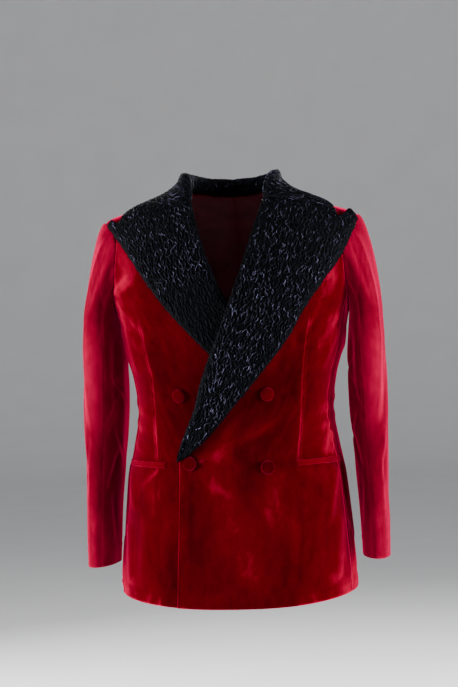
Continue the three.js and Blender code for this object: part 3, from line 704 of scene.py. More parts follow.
def panel(part, side, angle, low, lift, relief, painted_side_light, u_start, folds=None, at_edge=0.3):
    """Makes one panel of the body from its angles and levels, its lift off the body and its relief."""
    outer = skin(angle, low, lift + relief)
    inner = skin(angle, low, lift + np.clip(relief, -INNER_FOLLOW, INNER_FOLLOW) - CLOTH)
    # Painted highlight: brighter where folds turn, along the edges and towards the sides
    painted_highlight = np.clip(painted_fold_highlight(outer, relief if folds is None else folds, at_edge) + painted_side_light, 0, 1)
    uv = arc_uv(outer, u_start, -1000.0)
    piece = slab(f"cloth_{part}_{side}", outer, inner, uv, [VELVET, REVERSE], side == "right", raised=painted_highlight)
    dress(piece, f"{part}_{side}")


def spaced(stops, step):
    """Levels through the given stops, spaced about a step apart."""
    parts = []
    for a, b in zip(stops[:-1], stops[1:]):
        count = max(2, int(round(abs(b - a) / step)) + 1)
        parts.append(np.linspace(a, b, count)[:-1])
    return np.concatenate(parts + [[stops[-1]]])


def front(side):
    z = spaced((-4, -34, -57, -62, -90, -142, -200, -226, -232, HEM_Z), 3.1)[:, None]
    edge = EDGES[side](z)
    start, end = angle_across(edge, z), outer_angle(z, 1)
    dart = curve(DARTS[side], "z", "across")(z)
    stops = [start] + [angle_across(x, z) for x in (edge + 3, edge + 17, dart - 7, dart + 7)] + [end]
    limits = ((0, 0), (0.005, 0.04), (0.06, 0.24), (0.3, 0.86), (0.33, 0.94), (1, 1))
    shares = [np.clip((stop - start) / (end - start), low, high) for stop, (low, high) in zip(stops, limits)]
    counts = (4, 11, 34, 17, 20)
    spans = [lerp(a, b, np.arange(n) / n) for a, b, n in zip(shares[:-1], shares[1:], counts)]
    share = np.concatenate(spans + [shares[-1]], 1)
    angle = lerp(start, end, share)
    low = hemmed(z, angle)
    x = body_point(angle, low)[..., 0]
    relief = front_relief(side, x, low, edge) + hem_relief(x, low - hemmed(np.array(HEM_Z), angle))
    if side == "right":
        relief = relief * smooth(-1.5, 9, x - edge)
        relief = relief * lerp(0.3, 1, smooth(80, 130, x))
        relief = np.minimum(relief, lerp(0.3, 4.2, smooth(85, 125, x)))
        relief = np.where((x < 70) & (low < -215), np.minimum(relief, 0.2), relief)
    free_edge = np.interp(-low, -np.array(LAPELS[side]["z"]), LAPELS[side]["across"])
    under_lapel = smooth(-6, 10, free_edge - x)
    relief = relief * (1 - under_lapel)
    lift = LIFTS[side](x, low)
    folds = relief + drag_height(1 if side == "left" else -1, x, low)
    # The front's edges get a stronger painted highlight
    panel("front", side, angle, low, lift, relief, painted_flank_light(x), 0.0,
          folds=folds, at_edge=0.6)


# Folds of the back: from, to, width and height
BACK_FOLDS = (
    ((150, -225), (90, -300), 16, 2.2), ((172, -250), (120, -350), 12, 1.6),
    ((60, -385), (160, -372), 14, 1.5), ((50, -415), (150, -408), 12, 1.3),
    ((90, -470), (100, -690), 26, 2.0), ((30, -130), (110, -105), 20, 1.4),
)


def back(side):
    z = spaced((-6, -57, -62, -142, -226, -232, HEM_Z), 5.0)[:, None]
    share = np.linspace(0, 1, 56)[None, :]
    start = -angle_across(SEAM / 2, z)
    end = outer_angle(z, -1)
    end = np.where(np.arange(len(z))[:, None] == 0, -4.0, end)
    angle = lerp(start, end, share)
    order = np.arange(len(z))[:, None]
    behind = np.array(COLLAR["inner_y"][3:], float)
    seams = height_under(np.array(COLLAR["inner_x"][3:]), behind)
    neck_angle = angle_forward(-behind, seams)
    neck = through(neck_angle, seams)(angle)
    low = np.minimum(hemmed(z, angle), neck - 0.25 * order)
    x = body_point(angle, low)[..., 0]
    relief = 0.6 * noise(x / 50 + 9, low / 80, 21) + 0.25 * noise(x / 17, low / 26, 22)
    left = 1 if side == "left" else 0
    for a, b, wide, high in BACK_FOLDS:
        ridge = bar(x, low, a, (b[0], b[1] - 8 * left), wide * (1 + 0.25 * left))
        relief = relief + CREASE_GAIN["back"] * high * (0.8 + 0.3 * left) * ridge
    relief = relief + seam_groove(x - 1.0, 1.5, 0.8) * smooth(-8, -30, low)
    relief = relief + hem_relief(x, low - HEM_Z)
    relief = relief * smooth(0, 26, neck - low)
    panel("back", side, angle, low, 0.0, relief, painted_flank_light(x), 600.0)


def side_body(side):
    rows = spaced((-229, HEM_Z), 6.0)
    y = np.linspace(SIDE_SEAM["front"] - SEAM / 2, -SIDE_SEAM["back"] + SEAM / 2, 30)[None, :]
    widest = np.where(y >= 0, ARMHOLE["front"], ARMHOLE["back"])
    share = np.clip(np.abs(y) / widest, 0, 1)
    hole = ARMHOLE["z"] - ARMHOLE["tall"] * (1 - share ** ARMHOLE["power"]) ** (1 / ARMHOLE["power"])
    order = np.arange(len(rows))[:, None]
    level = np.where(order == 0, hole - SEAM, np.minimum(rows[:, None], hole - SEAM - 1.5 * order))
    angle = angle_forward(y, level)
    low = hemmed(level, angle)
    relief = 0.6 * noise(y / 30, low / 60, 31) + 0.25 * noise(y / 12, low / 20, 32)
    hip_fold = -2.6 if side == "left" else -1.4
    for a, b, wide, high in (
        ((20, -255), (-30, -300), 9, 1.8), ((34, -385), (-40, -378), 8, 1.6),
        ((-30, -410), (40, -418), 7, 1.3), ((40, -500), (34, -600), 5, hip_fold),
        ((22, -490), (12, -640), 8, 2.2), ((-10, -520), (-16, -690), 7, -2.0),
        ((-36, -500), (-38, -700), 10, 1.8), ((30, -620), (36, -712), 6, 2.2),
    ):
        relief = relief + CREASE_GAIN["side"] * high * bar(y, low, a, b, wide)
    relief = relief + hem_relief(y, low - HEM_Z)
    # The side bodies get the full painted flank light all over
    panel("side", side, angle, low, 0.0, relief, PAINTED_FLANK_LIGHT, 1000.0)


for name in ("left", "right"):
    front(name)
    back(name)
    side_body(name)


# Sleeves

sleeve_at = {name: curve(SLEEVE, "z", name) for name in ("outer", "inner", "front", "back", "lean")}


def armhole_point(turn):
    along = signed_power(np.cos(np.radians(turn)), 2 / ARMHOLE["power"])
    across = signed_power(np.sin(np.radians(turn)), 2 / ARMHOLE["power"])
    z = ARMHOLE["z"] + ARMHOLE["tall"] * along
    y = across * np.where(across >= 0, ARMHOLE["front"], ARMHOLE["back"])
    return skin(angle_forward(y, z), z, np.full_like(z, SLEEVE_STAND))


def tube_point(turn, z):
    s = {name: at(z) for name, at in sleeve_at.items()}
    across = signed_power(np.cos(np.radians(turn)), 2 / SLEEVE_POWER)
    forward = signed_power(np.sin(np.radians(turn)), 2 / SLEEVE_POWER)
    x = (s["outer"] + s["inner"]) / 2 + (s["outer"] - s["inner"]) / 2 * across + s["lean"] * forward
    y = -forward * np.where(forward >= 0, s["front"], s["back"])
    return np.stack(np.broadcast_arrays(x, y, z), -1)


def sleeve_point(turn, down, end_z):
    """Turn is 0 outside, 90 in front; down is 0 at the armhole, 1 under the arm, 2 at the cuff."""
    turn, down = np.broadcast_arrays(np.asarray(turn, float), np.asarray(down, float))
    hanging = tube_point(turn, lerp(SLEEVE["z"][0], end_z, np.maximum(down - 1, 0)))
    d = np.minimum(down, 1)[..., None]
    start_point = armhole_point(turn)
    end_point = tube_point(turn, np.full_like(turn, SLEEVE["z"][0]))
    chord = end_point - start_point
    length = np.linalg.norm(chord, axis=-1, keepdims=True)
    outward = (0.5 + 0.5 * np.cos(np.radians(turn)))[..., None]
    start = unit(np.array([1.0, 0, 0]) * outward + chord * (1 - outward) / length)
    start = start * length * lerp(SLEEVE_DROP, SLEEVE_HEAD, outward)
    end = np.array([0, 0, -1.0]) * length * SLEEVE_DROP
    s = 1 - d
    head = ((1 + 2 * d) * s * s * start_point + d * s * s * start
            + d * d * (3 - 2 * d) * end_point - d * d * s * end)
    return np.where(down[..., None] > 1, hanging, head)


# Finer creases of the sleeves: angle, top, slant in degrees over its length, length, width, depth
SLEEVE_CREASES = {
    "left": (
        (70, -70, 30, 90, 5, 1.3), (95, -78, 22, 80, 4.5, 1.2), (45, -66, 20, 70, 5, 1.0),
        (120, -110, 30, 110, 6, 1.4), (150, -300, 60, 60, 8, 2.0), (165, -345, -50, 70, 8, 2.2),
        (135, -395, 55, 70, 8, 2.0), (175, -430, -40, 80, 9, 1.8), (100, -350, 40, 90, 10, 1.2),
        (60, -470, -20, 120, 12, 1.0), (140, -520, 20, 90, 9, 1.2), (300, -120, -20, 110, 8, 1.4),
        (8, -285, 46, 130, 9, 1.5), (352, -350, -40, 110, 9, 1.4), (18, -415, 42, 110, 10, 1.3),
        (338, -480, 30, 110, 10, 1.1), (325, -230, 24, 120, 10, 1.1),
        (270, -340, 40, 70, 9, 1.8), (255, -390, -40, 80, 9, 1.8), (330, -330, 30, 120, 12, 1.0),
    ),
    "right": (
        (65, -72, 26, 80, 5, 1.2), (90, -82, 24, 90, 5, 1.3), (40, -68, 16, 60, 5, 0.9),
        (125, -115, 26, 100, 6, 1.3), (140, -330, 60, 60, 8, 2.2), (165, -372, -55, 70, 8, 2.4),
        (145, -420, 50, 70, 8, 2.0), (170, -465, -40, 80, 9, 1.8), (95, -300, 30, 90, 10, 1.0),
        (70, -430, -25, 120, 12, 1.1), (150, -540, 20, 90, 9, 1.2), (305, -130, -16, 120, 8, 1.3),
        (12, -300, 40, 120, 9, 1.4), (348, -375, -44, 120, 9, 1.5), (24, -440, 36, 110, 10, 1.2),
        (335, -500, 34, 100, 10, 1.2), (330, -215, 20, 130, 10, 1.1),
        (262, -360, 45, 70, 9, 1.8), (275, -410, -45, 80, 9, 1.6), (335, -300, 26, 120, 12, 1.0),
    ),
}


def sleeve_relief(side, turn, z, down):
    relief = np.zeros(turn.shape)
    for angle, top, bottom, wide, high in SLEEVE_FOLDS:
        off = (turn - angle + 540) % 360 - 180
        fade = smooth(top, top - 40, z) * (1 - smooth(bottom + 50, bottom, z))
        relief -= high * fade * bell(off, wide)
    for angle, top, slant, length, wide, deep in SLEEVE_CREASES[side]:
        t = (top - z) / length
        off = (turn - angle - slant * t + 540) % 360 - 180
        fade = smooth(-0.1, 0.25, t) * (1 - smooth(0.7, 1.1, t))
        relief -= CREASE_GAIN["sleeve"] * deep * fade * bell(off, wide)
    ridge = np.interp(-z, (60, 150, 280, 400, 520), (40, 44, 50, 74, 84))
    off = (turn - ridge + 540) % 360 - 180
    fade = smooth(-66, -110, z) * (1 - smooth(-330, -470, z))
    relief += fade * (2.8 * bell(off, 8) - 2.0 * bell(off + 22, 11))
    head = smooth(0.4, 0.0, down)
    relief += head * 0.55 * np.sin(np.radians(turn * 15 + 90 * noise(turn / 20, down * 3, 41)))
    relief += 0.7 * smooth(0.16, 0.04, down) * (0.5 + 0.5 * np.cos(np.radians(turn)))
    relief += 0.5 * noise(turn / 22, z / 80, 42) + 0.1 * noise(turn / 9, z / 24, 43)
    return relief


def sleeve(side, part):
    before, after = SLEEVE_SEAMS["back"] + SEAM_TURN, SLEEVE_SEAMS["front"] + 360 - SEAM_TURN
    columns = 112
    if part == "under":
        before, after = SLEEVE_SEAMS["front"] + SEAM_TURN, SLEEVE_SEAMS["back"] - SEAM_TURN
        columns = 58
    turn = np.linspace(before, after, columns)[None, :]
    down = np.concatenate([np.linspace(0, 1, 56)[:-1], np.linspace(1, 2, 135)])[:, None]
    end_z = SLEEVE_END_Z[side]
    base = sleeve_point(turn, down, end_z)
    around = sleeve_point(turn + 2, down, end_z) - sleeve_point(turn - 2, down, end_z)
    below = sleeve_point(turn, np.minimum(down + 0.02, 2), end_z)
    above = sleeve_point(turn, np.maximum(down - 0.02, 0), end_z)
    normal = unit(np.cross(around, below - above))
    turns = np.broadcast_to(turn, base.shape[:2])
    downs = np.broadcast_to(down, base.shape[:2])
    relief = sleeve_relief(side, turns % 360, base[..., 2], downs)
    near_seam = np.minimum(turns - before, after - turns)
    relief = relief - 0.6 * bell(near_seam, 1.2) + 0.25 * bell(near_seam - 4, 1.5)
    cuff = base[..., 2] - (end_z + 30)
    relief = relief + 0.35 * bell(cuff, 3) - 0.35 * bell(cuff - 6, 3)
    outer = base + normal * relief[..., None]
    inner = base + normal * (np.clip(relief, -4.5, 0.4) - CLOTH)[..., None]
    uv = arc_uv(outer, 1400.0 if part == "upper" else 2000.0, -1000.0)
    name = f"sleeve_{part}_{side}"
    # Painted light: brightens the front of the sleeve, more towards the cuff, to match the photograph's
    # brightness
    brushed = (0.45 + 0.35 * smooth(-220, -470, base[..., 2])) * bell(turns % 360 - 102, 40)
    painted_highlight = np.clip(painted_fold_highlight(outer, relief) + brushed, 0, 1)
    # The sleeves get the lighter copy of the velvet: painted light
    piece = slab(f"cloth_{name}", outer, inner, uv, [VELVET_SLEEVE_PAINTED_LIGHT, REVERSE], side == "right", raised=painted_highlight)
    dress(piece, name)


for name in ("left", "right"):
    sleeve(name, "upper")
    sleeve(name, "under")


# Curled fur

def strokes(u, v, seed, wide, tall):
    """Short bent crests, one in each cell, from 0 to 1."""
    best = np.zeros(u.shape)
    column, row = np.floor(u / wide), np.floor(v / tall)
    for i in (column - 1, column, column + 1):
        for j in (row - 1, row, row + 1):
            lean = np.radians(40) * hashed(i, j, seed + 2)
            bend = 0.07 * hashed(i, j, seed + 3)
            long = (0.62 + 0.2 * hashed(i, j, seed + 4)) * tall
            du = u - (i + 0.5 + 0.4 * hashed(i, j, seed)) * wide
            dv = v - (j + 0.5 + 0.35 * hashed(i, j, seed + 1)) * tall
            along = du * np.sin(lean) + dv * np.cos(lean)
            off = du * np.cos(lean) - dv * np.sin(lean) - bend * (along ** 2 - 6)
            off = off - 0.9 * np.sin(along / 1.5 + 3 * hashed(i, j, seed + 5))
            high = 0.8 + 0.2 * hashed(i, j, seed + 6)
            best = np.maximum(best, high * bell(off, 1.05) * np.exp(-((along / long) ** 4)))
    return best


def waved(u, v, seed, pitch):
    """Longer crests side by side that wander as they run down, from 0 to 1."""
    wander = 5.5 * noise(u / 22, v / 13, seed) + 2.6 * noise(u / 9, v / 6, seed + 2)
    wander = wander + noise(u / 4, v / 3.2, seed + 3)
    return smooth(0.1, 1.0, np.cos((u + wander) / pitch * 2 * np.pi))


def curls(u, v, seed):
    """Height of the curls, 0 to 1: thin broken ridges that mostly run down the piece."""
    tilted = waved(u * 0.94 + v * 0.34, v * 0.94 - u * 0.34, seed + 50, 6.3)
    pick = smooth(-0.25, 0.25, noise(u / 11, v / 13, seed + 46))
    broken = 0.2 + 0.8 * smooth(-0.55, 0.1, noise(u / 4.6, v / 7.5, seed + 45))
    lines = lerp(waved(u, v, seed + 40, 5.8), tilted, pick) * broken
    bent = u + 1.5 * noise(u / 9, v / 9, seed + 48)
    return np.maximum(strokes(bent, v, seed, 5.7, 13), 0.78 * lines)


# Height of the curls
CURL_HIGH = 3.0


def fur_surface(outer, inner, seed, taper):
    """Grows curls on the outer grid, less of them where taper is small."""
    normal = grid_normals(outer, outer - inner)
    flat = arc_uv(outer)
    height = curls(flat[..., 0], flat[..., 1], seed)
    fine = 0.3 * noise(flat[..., 0] / 1.9, flat[..., 1] / 2.6, seed + 9)
    return outer + normal * (((height - 0.5) * CURL_HIGH + fine) * taper)[..., None], flat, height * taper


def bobbly(height):
    """How far each point of the border bulges where a curl ends there."""
    edge = border(*height.shape)
    return 0.4 + 2.4 * height[edge[:, 0], edge[:, 1]]


# How the fur's surface drops towards the free edge of a lapel, as a share of its thickness
EDGE_ROUND = {"share": (0, 0.9, 0.96, 1.0), "drop": (0, 0, 0.22, 0.72)}


def lapel(side, last, thinning, seed, rows, columns):
    edge = EDGES[side]
    outline = LAPELS[side]
    outline_at = curve(outline, "z", "across")
    peak_z, tip_z = outline["z"][0], outline["z"][-1]
    peak_x = float(outline_at(peak_z))
    lift = LIFTS[side]

    def gorge(share):
        x = lerp(COLLAR["inner_x"][0], COLLAR["outer_x"][0], share)
        y = lerp(COLLAR["inner_y"][0], COLLAR["outer_y"][0], share)
        return x, height_under(x, y) - 0.5 - 1.4 * share

    notch_x, notch_z = gorge(np.array(1.0))
    roll_top = float(gorge(np.array(0.0))[1])

    def place(down, share, shift):
        down, share, shift = np.broadcast_arrays(down, share, shift)
        roll_z, out_z = lerp(roll_top, last, down), lerp(peak_z, tip_z, down)
        roll_x, out_x = edge(roll_z), outline_at(out_z)
        gx, gz = gorge(np.minimum(share / PEAK_SHARE, 1))
        beyond = (share - PEAK_SHARE) / (1 - PEAK_SHARE)
        rise = PEAK_RISE * (peak_x - notch_x) * np.sin(np.pi * np.maximum(0, beyond) ** 1.3)
        top_x = np.where(share < PEAK_SHARE, gx, lerp(notch_x, peak_x, beyond))
        top_z = np.where(share < PEAK_SHARE, gz, lerp(notch_z, peak_z, beyond) + rise)
        blend = 1 - smooth(0, 0.16, down)
        ax, az = out_x - roll_x, out_z - roll_z
        length = np.hypot(ax, az)
        return (lerp(lerp(roll_x, out_x, share), top_x, blend) + shift * ax / length,
                lerp(lerp(roll_z, out_z, share), top_z, blend) + shift * az / length)

    def point(down, share, shift, high):
        x, z = place(down, share, shift)
        beyond = np.maximum(0, x - LAPEL_TANGENT)
        on_body = skin(angle_across(x - beyond, z), z, lift(x, z) + high * thinning(down))
        return on_body + beyond[..., None] * np.array([1.0, LAPEL_SLOPE, 0])

    # across the lapel: first round the roll, then over the flat, then down at the free edge
    roll_t = (0.0, 0.33, 0.66, 1.0)
    top_shift = through(roll_t, (-4, -4.5, -1.5, 4.5))
    top_high = through(roll_t, (1.5, 5, 8.4, 9.8))
    low_shift = through(roll_t, (0.8, 1.6, 3, 6))
    low_high = through(roll_t, (1.5, 1.7, 2.1, 2.8))
    rolled = max(8, columns // 12)
    t = np.concatenate([np.linspace(0, 1, rolled), np.full(columns - rolled, 1.0)])[None, :]
    s = np.concatenate([np.zeros(rolled), np.linspace(0, 1, columns - rolled + 1)[1:]])[None, :]
    down = np.linspace(0, 1, rows)[:, None]
    tight = lerp(1, 0.25, smooth(0.86, 1, down))
    on_flat = smooth(0, 0.05, s)
    drop = curve(EDGE_ROUND, "share", "drop")(s) * FUR
    top = lerp(top_high(t), LAPEL_REST + FUR, on_flat) - drop
    low = lerp(low_high(t), LAPEL_REST, on_flat) + 0.15 * drop
    fade = 1 - smooth(0, 0.07, s)
    outer = point(down, s, top_shift(t) * tight * fade, top)
    inner = point(down, s, low_shift(t) * tight * fade, low)
    free = np.minimum(smooth(0, 0.012, down + 0.008), smooth(1.004, 0.985, down))
    taper = thinning(down) * free * lerp(0.45, 1.0, smooth(0, 1, t)) * (1 - 0.4 * smooth(0.95, 1, s))
    grown, flat, height = fur_surface(outer, inner, seed, taper)
    # The curl height goes to the 'raised' attribute, which paints the crests light and the hollows dark
    piece = slab(f"fur_lapel_{side}", grown, inner, flat, [FUR_BLACK, FUR_BACK], side == "right",
                 rounding=bobbly(height), raised=height, step=8)
    dress(piece, f"lapel_{side}")


# The right lapel thins out where it runs in under the left front
lapel("left", TIP_Z, lambda down: np.ones_like(down), seed=60, rows=430, columns=196)
lapel("right", HIDDEN_END_Z, lambda down: lerp(1, 0.55, smooth(0.45, 0.8, down)),
      seed=80, rows=290, columns=190)


def collar():
    along = (np.linspace(0, 1, 205) ** 1.1)[:, None]
    names = ("inner_x", "inner_y", "outer_x", "outer_y", "crest")
    ix, iy, ox, oy, crest = (curve(COLLAR, "along", name)(along) for name in names)
    seam = shoulder_skin(ix, iy, np.zeros_like(ix)) + np.array([0, 0, COLLAR_STAND])
    outward = unit(np.concatenate([ix, iy, np.zeros_like(ix)], -1))[:, None, :]
    spread = (crest / FULL_CREST)[..., None]
    fold_t = (0, 0.2, 0.4, 0.6, 0.8, 1.0)
    out = through(fold_t, (-3.5, -4.5, -3, 3, 11, 18))
    up = through(fold_t, (0, 0.4, 0.75, 0.97, 1, 0.9))
    under_out = through(fold_t, (1, 0.5, 2.5, 6, 10.5, 14.5))
    under_up = through(fold_t, (0, 0.4, 0.62, 0.74, 0.76, 0.64))
    thick = through((0.12, 0.73, 0.87, 1), (FUR, FUR, 5.6, 2.6))
    stand_columns, fall_start = 56, 0.12
    t = np.linspace(0, 1, stand_columns)[None, :, None]
    s = np.linspace(fall_start, 1, 130)[None, :]

    def fold(sideways, raised):
        rise = np.array([0, 0, 1.0]) * raised(t) * crest[..., None]
        return seam[:, :1] + outward * sideways(t) * spread + rise

    def fall(high):
        rise = np.maximum(0, (crest - COLLAR_REST - FUR) * np.clip(1 - s / 0.6, 0, 1) ** 2)
        return shoulder_skin(lerp(ix, ox, s), lerp(iy, oy, s), rise + high)

    towards_gorge = 0.9 * (1 - smooth(0, 0.05, along))
    iy, oy = iy - towards_gorge, oy - towards_gorge
    outer = np.concatenate([fold(out, up), fall(COLLAR_REST + thick(s))], 1)
    inner = np.concatenate([fold(under_out, under_up), fall(COLLAR_REST + 0 * s)], 1)
    filled = (1 - smooth(0.0, 0.16, along))[..., None]
    shares = np.concatenate([np.linspace(0, fall_start, stand_columns), s[0]])[None, :]
    solid = shoulder_skin(lerp(ix, ox, shares), lerp(iy, oy, shares), COLLAR_REST + 0 * shares * ix)
    inner = lerp(inner, solid, filled)
    # smooths the columns where the stand turns over into the fall
    a, b = stand_columns - 8, stand_columns + 16
    for grid in (outer, inner):
        for _ in range(30):
            grid[:, a:b] = (grid[:, a - 1:b - 1] + 2 * grid[:, a:b] + grid[:, a + 1:b + 1]) / 4
    mirror = np.array([-1, 1, 1])
    outer = np.concatenate([outer, outer[:-1][::-1] * mirror])
    inner = np.concatenate([inner, inner[:-1][::-1] * mirror])
    ends = np.minimum(np.arange(len(outer)), np.arange(len(outer))[::-1])[:, None]
    cross = np.arange(outer.shape[1])[None, :]
    last = outer.shape[1] - 1
    taper = smooth(-2, 3, ends) * smooth(-2, 8, cross) * (1 - 0.4 * smooth(last - 5, last, cross))
    grown, flat, height = fur_surface(outer.transpose(1, 0, 2), inner.transpose(1, 0, 2), 100, taper.T)
    # The curl height goes to the 'raised' attribute, which paints the crests light and the hollows dark
    piece = slab("fur_collar", grown, inner.transpose(1, 0, 2), flat, [FUR_BLACK, FUR_BLACK],
                 rounding=bobbly(height), raised=height, step=5)
    dress(piece, "collar")


collar()


# Pocket mouths

# Welts: where the hip welt starts across, how far forward it ends, its level, rise and height,
# and the two ends of the breast welt and its height
HIP_WELT = {"start_x": 114.0, "end_forward": 18.0, "z": -487.0, "rise": 3, "tall": 9.0}
BREAST_WELT = {"start": (92.0, -196.0), "end": (185.0, -172.0), "tall": 28}


def strip(start, end, tall, rows, columns):
    """A band between two places, each an angle and a height: its angles, levels, x and shares."""
    share = np.linspace(0, 1, columns)
    across = np.linspace(0, 1, rows)[:, None]
    z = lerp(start[1], end[1], share)[None, :] - across * tall
    angles = np.broadcast_to(lerp(start[0], end[0], share)[None, :], z.shape)
    return angles, z, body_point(angles, z)[..., 0], across, share


def hip_pocket(side):
    z0 = HIP_WELT["z"]
    start = (float(angle_across(HIP_WELT["start_x"], z0)), z0)
    end = (float(angle_forward(HIP_WELT["end_forward"], z0)), z0 + HIP_WELT["rise"])
    angles, z, x, across, share = strip(start, end, HIP_WELT["tall"], 26, 130)
    lips = np.abs(np.sin(np.pi * np.clip(across * 2, 0, 2))) ** 0.6
    slit = bell(across - 0.5, 0.05)
    pull = 0.5 * noise(x / 5, across * 2 + z * 0, 51) + 0.35 * noise(x / 13, across * 2, 52)
    ends = smooth(0, 0.03, share)[None, :] * smooth(1, 0.97, share)[None, :]
    high = 0.45 + (1.25 * lips * (1 + 0.4 * pull) - 0.5 * slit) * lerp(0.3, 1, ends)
    lift = LIFTS[side](x, z)
    outer = skin(angles, z, lift + high)
    inner = skin(angles, z, lift - 0.4)
    uv = arc_uv(outer, 2600.0)
    piece = slab(f"welt_hip_{side}", outer, inner, uv, [LIGHTER_VELVET], side == "right", rounding=0.3)
    dress(piece, f"hip_welt_{side}")


def breast_pocket():
    places = (BREAST_WELT["start"], BREAST_WELT["end"])
    start, end = ((float(angle_across(across, level)), level) for across, level in places)
    tall = BREAST_WELT["tall"]
    angles, z, x, across, share = strip(start, end, tall, 24, 70)
    rim = np.minimum(np.minimum(across, 1 - across) * tall, (1 - share)[None, :] * 100)
    crown = 0.25 * bell(rim - 2.2, 1.9) - 0.15 * bell(rim, 0.9)
    high = LAYER + 0.5 + crown + 0.15 * noise(x / 7, z / 6, 53)
    lift = LIFTS["left"](x, z)
    outer = skin(angles, z, lift + high)
    inner = skin(angles, z, lift - 0.2)
    uv = arc_uv(outer, 2800.0)
    # Painted highlight on the welt: a little all over, more towards the side
    piece = slab("welt_breast", outer, inner, uv, [VELVET], rounding=0.3, raised=0.1 + painted_flank_light(x))
    dress(piece, "breast_welt")


hip_pocket("left")
hip_pocket("right")
breast_pocket()


# Middle of the buttonhole
HOLE_X = -51.5
HOLE_Z = -485.4


def buttonhole():
    """The worked buttonhole that the closing button pulls on: a raised ring of stitches round a slit."""
    t = np.linspace(0, 2 * np.pi, 121)[None, :]
    r = np.linspace(0, 2 * np.pi, 9)[:, None]
    stitch = 1 + 0.12 * np.sin(t * 31)
    thick = 0.75 * np.cos(r) * stitch
    x = HOLE_X + (9.5 + thick) * signed_power(np.cos(t), 0.8)
    z = HOLE_Z + (0.95 + thick) * np.sin(t) + 0.18 * (x - HOLE_X)
    angles = angle_across(x, z)
    relief = front_relief("left", x, z, EDGES["left"](z))
    high = LIFTS["left"](x, z) + relief + 0.35 + 0.6 * np.sin(r) * stitch
    points = skin(angles, z, high)[:-1, :-1]
    rows, columns = points.shape[:2]
    order = np.arange(rows * columns).reshape(rows, columns)
    ahead, beside = np.roll(order, -1, 0), np.roll(order, -1, 1)
    faces = np.stack([order, beside, np.roll(ahead, -1, 1), ahead], -1).reshape(-1, 4)
    uv = np.stack([x[:-1, :-1] + 3000, z[:-1, :-1]], -1)
    slots = np.zeros(len(faces), int)
    points, uv = points.reshape(-1, 3) / 1000, uv.reshape(-1, 2)
    piece = build_mesh("buttonhole_closing", points, faces, slots, uv, [LIGHTER_VELVET])
    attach(piece, "root")


buttonhole()


# Cloth-covered buttons

BUTTON_HIGH = 7.0
BUTTON_REST = 0.8

# Each button: node, place across, height, and the front that it sits on
BUTTONS = (
    ("button_upper_right", -86, -370, "right"),
    ("button_upper_left", 68, -370, "left"),
    ("button_closing", -68, -489, "left"),
    ("button_lower_left", 66, -498, "left"),
)
BUTTON_PROFILE = {
    "t": (0, 0.12, 0.2, 0.32, 0.44, 0.56, 0.66, 0.78, 0.9, 1.0),
    "out": (0.3, 0.34, 0.8, 1.0, 1.0, 0.93, 0.8, 0.7, 0.4, 0.0),
    "up": (0, 0.12, 0.16, 0.36, 0.58, 0.8, 0.84, 0.88, 0.98, 1.0),
}


def button(node_name, x, z, side):
    out_at, up_at = curve(BUTTON_PROFILE, "t", "out"), curve(BUTTON_PROFILE, "t", "up")
    t = np.linspace(0, 0.985, 40)[:, None]
    turn = np.linspace(0, 2 * np.pi, 97)[None, :]
    seed = int(abs(x * 7 + z))
    gather = smooth(0.46, 0.2, t) * 0.03 * np.sin(turn * 19 + 2 * np.sin(turn * 3 + seed))
    wobble = 0.008 * np.sin(turn * 3 + seed) + 0.005 * np.sin(turn * 7 + seed * 2)
    radius = BUTTON_DIAMETER / 2 * (out_at(t) + gather + wobble * smooth(0, 0.4, t))
    dimple = 0.012 * np.sin(turn * 5 + seed) * smooth(0.5, 0.9, t) * (1 - t)
    high = BUTTON_HIGH * (up_at(t) + dimple)
    shell = np.stack([radius * np.cos(turn), radius * np.sin(turn), high], -1)
    toward = -1 if side == "right" else 1
    flip = np.array([toward, 1, 1])
    angle = np.array(float(angle_across(toward * x, z)))
    lift = LIFTS[side](toward * x, z)
    seat = skin(angle, np.array(float(z)), np.array(lift + BUTTON_REST)) * flip
    normal = Vector(body_normal(angle, np.array(float(z))) * flip)
    turned = np.array(normal.to_track_quat("Z", "Y").to_matrix())
    points = (shell @ turned.T + seat) / 1000
    rows, columns = points.shape[0], points.shape[1] - 1
    verts = [Vector(p) for p in points[:, :-1].reshape(-1, 3)]
    faces = [(r * columns + c, r * columns + (c + 1) % columns,
              (r + 1) * columns + (c + 1) % columns, (r + 1) * columns + c)
             for r in range(rows - 1) for c in range(columns)]
    faces.append(tuple(range(columns))[::-1])
    faces.append(tuple((rows - 1) * columns + c for c in range(columns)))
    mesh = bpy.data.meshes.new(f"cover_{node_name}")
    mesh.from_pydata(verts, [], faces)
    layer = mesh.uv_layers.new(name="cloth")
    spread = 1 + 0.6 * (1 - t[:, :1].repeat(columns, 1).reshape(-1, 1))
    spot = shell[:, :-1].reshape(-1, 3)[:, :2] / 1000 * spread
    index = np.zeros(len(mesh.loops), int)
    mesh.loops.foreach_get("vertex_index", index)
    layer.data.foreach_set("uv", (spot[index] + 3.1 + seed * 0.01).ravel())
    mesh.shade_smooth()
    mesh.materials.append(VELVET)
    piece = placed(f"cover_{node_name}", mesh)
    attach(piece, "root")
    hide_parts(node_name)


for row in BUTTONS:
    button(*row)


# Stage: a pale sweep, soft lights and the camera

# In metres: the floor's height and radius, how far its bend to the wall reaches, and the wall's top
FLOOR_Z = -1.42
FLOOR_REACH = 12
BEND = 4
WALL_TOP = 7.0


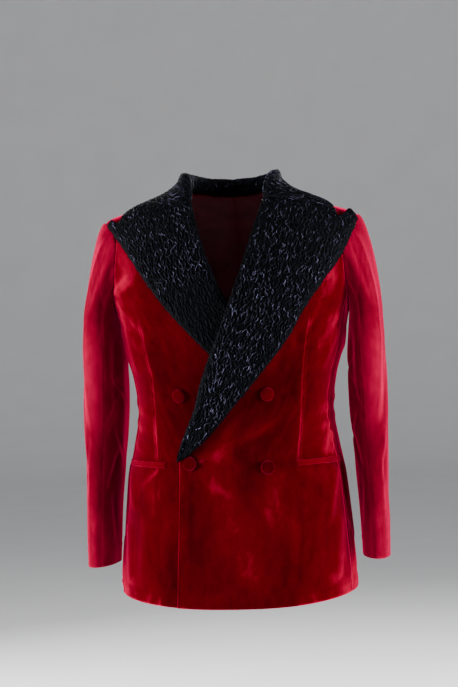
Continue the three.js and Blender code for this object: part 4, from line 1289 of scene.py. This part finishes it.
def stage():
    made, tree, shader, place = material("pale_sweep", "Object")
    grain = noise_map(tree, place, Scale=3.0, Detail=5.0)
    tone = ramp(tree, grain, [(0.3, (0.78, 0.78, 0.785)), (0.7, (0.81, 0.81, 0.815))])
    feed(tree, shader, {"Base Color": tone, "Roughness": 0.85})
    angles = np.linspace(0.1, np.pi / 2, 14)
    bend = [(FLOOR_REACH + BEND * np.sin(a), BEND - BEND * np.cos(a)) for a in angles]
    profile = [(r, 0.0) for r in (0.01, 1.5, 4.0, FLOOR_REACH)] + bend + [(FLOOR_REACH + BEND, WALL_TOP)]
    sides = 72
    turns = np.linspace(0, 2 * np.pi, sides, endpoint=False)
    verts = [(r * np.cos(t), r * np.sin(t), z + FLOOR_Z) for r, z in profile for t in turns]
    faces = []
    for i in range(len(profile) - 1):
        for j in range(sides):
            a, b = i * sides + j, i * sides + (j + 1) % sides
            faces.append((a, b, b + sides, a + sides))
    faces.append(tuple(range(sides))[::-1])
    mesh = bpy.data.meshes.new("sweep")
    mesh.from_pydata(verts, [], faces)
    mesh.shade_smooth()
    mesh.materials.append(made)
    placed("sweep", mesh)


def light(name, place, target, size, power):
    data = bpy.data.lights.new(name, "AREA")
    data.shape = "RECTANGLE"
    data.size, data.size_y = size
    data.energy = power
    lamp = placed(name, data)
    lamp.location = place
    lamp.rotation_euler = (Vector(target) - Vector(place)).to_track_quat("-Z", "Y").to_euler()


# The picture's width in pixels, the metres to a pixel at the jacket, and a sensor width in millimetres
PICTURE_WIDTH = 458
PIXEL = 0.00181
SENSOR = 36.0


def camera():
    azimuth, roll, distance = np.radians(6.5), np.radians(1.6), 3.2
    focus = Vector((-0.0098, 0.0, -0.281))
    place = focus + distance * Vector((np.sin(azimuth), -np.cos(azimuth), 0.0))
    data = bpy.data.cameras.new("photo_view")
    data.sensor_fit = "HORIZONTAL"
    data.sensor_width = SENSOR
    data.lens = SENSOR * (distance / PIXEL) / PICTURE_WIDTH
    eye = placed("photo_view", data)
    aim = (focus - place).to_track_quat("-Z", "Y").to_matrix().to_4x4()
    eye.matrix_world = Matrix.Translation(place) @ aim @ Matrix.Rotation(-roll, 4, Vector((0, 0, 1)))
    bpy.context.scene.camera = eye


stage()
camera()
light("left_box", (-2.9, -1.0, -0.1), (0, 0, -0.42), (0.9, 1.9), 370)
light("right_box", (2.95, -0.95, -0.1), (0, 0, -0.42), (0.9, 1.9), 330)
light("back_left_box", (-2.1, 2.4, 0.7), (0, 0, -0.35), (0.9, 1.6), 170)
light("back_right_box", (2.3, 2.3, 0.8), (0, 0, -0.35), (0.9, 1.6), 170)
light("top_soft", (0.1, -0.3, 2.3), (0, 0, -0.3), (1.2, 1.2), 40)

world = bpy.data.worlds.new("studio")
world.use_nodes = True
backdrop = world.node_tree.nodes["Background"]
feed(world.node_tree, backdrop, {"Color": (0.75, 0.76, 0.78, 1), "Strength": 0.42})
bpy.context.scene.world = world
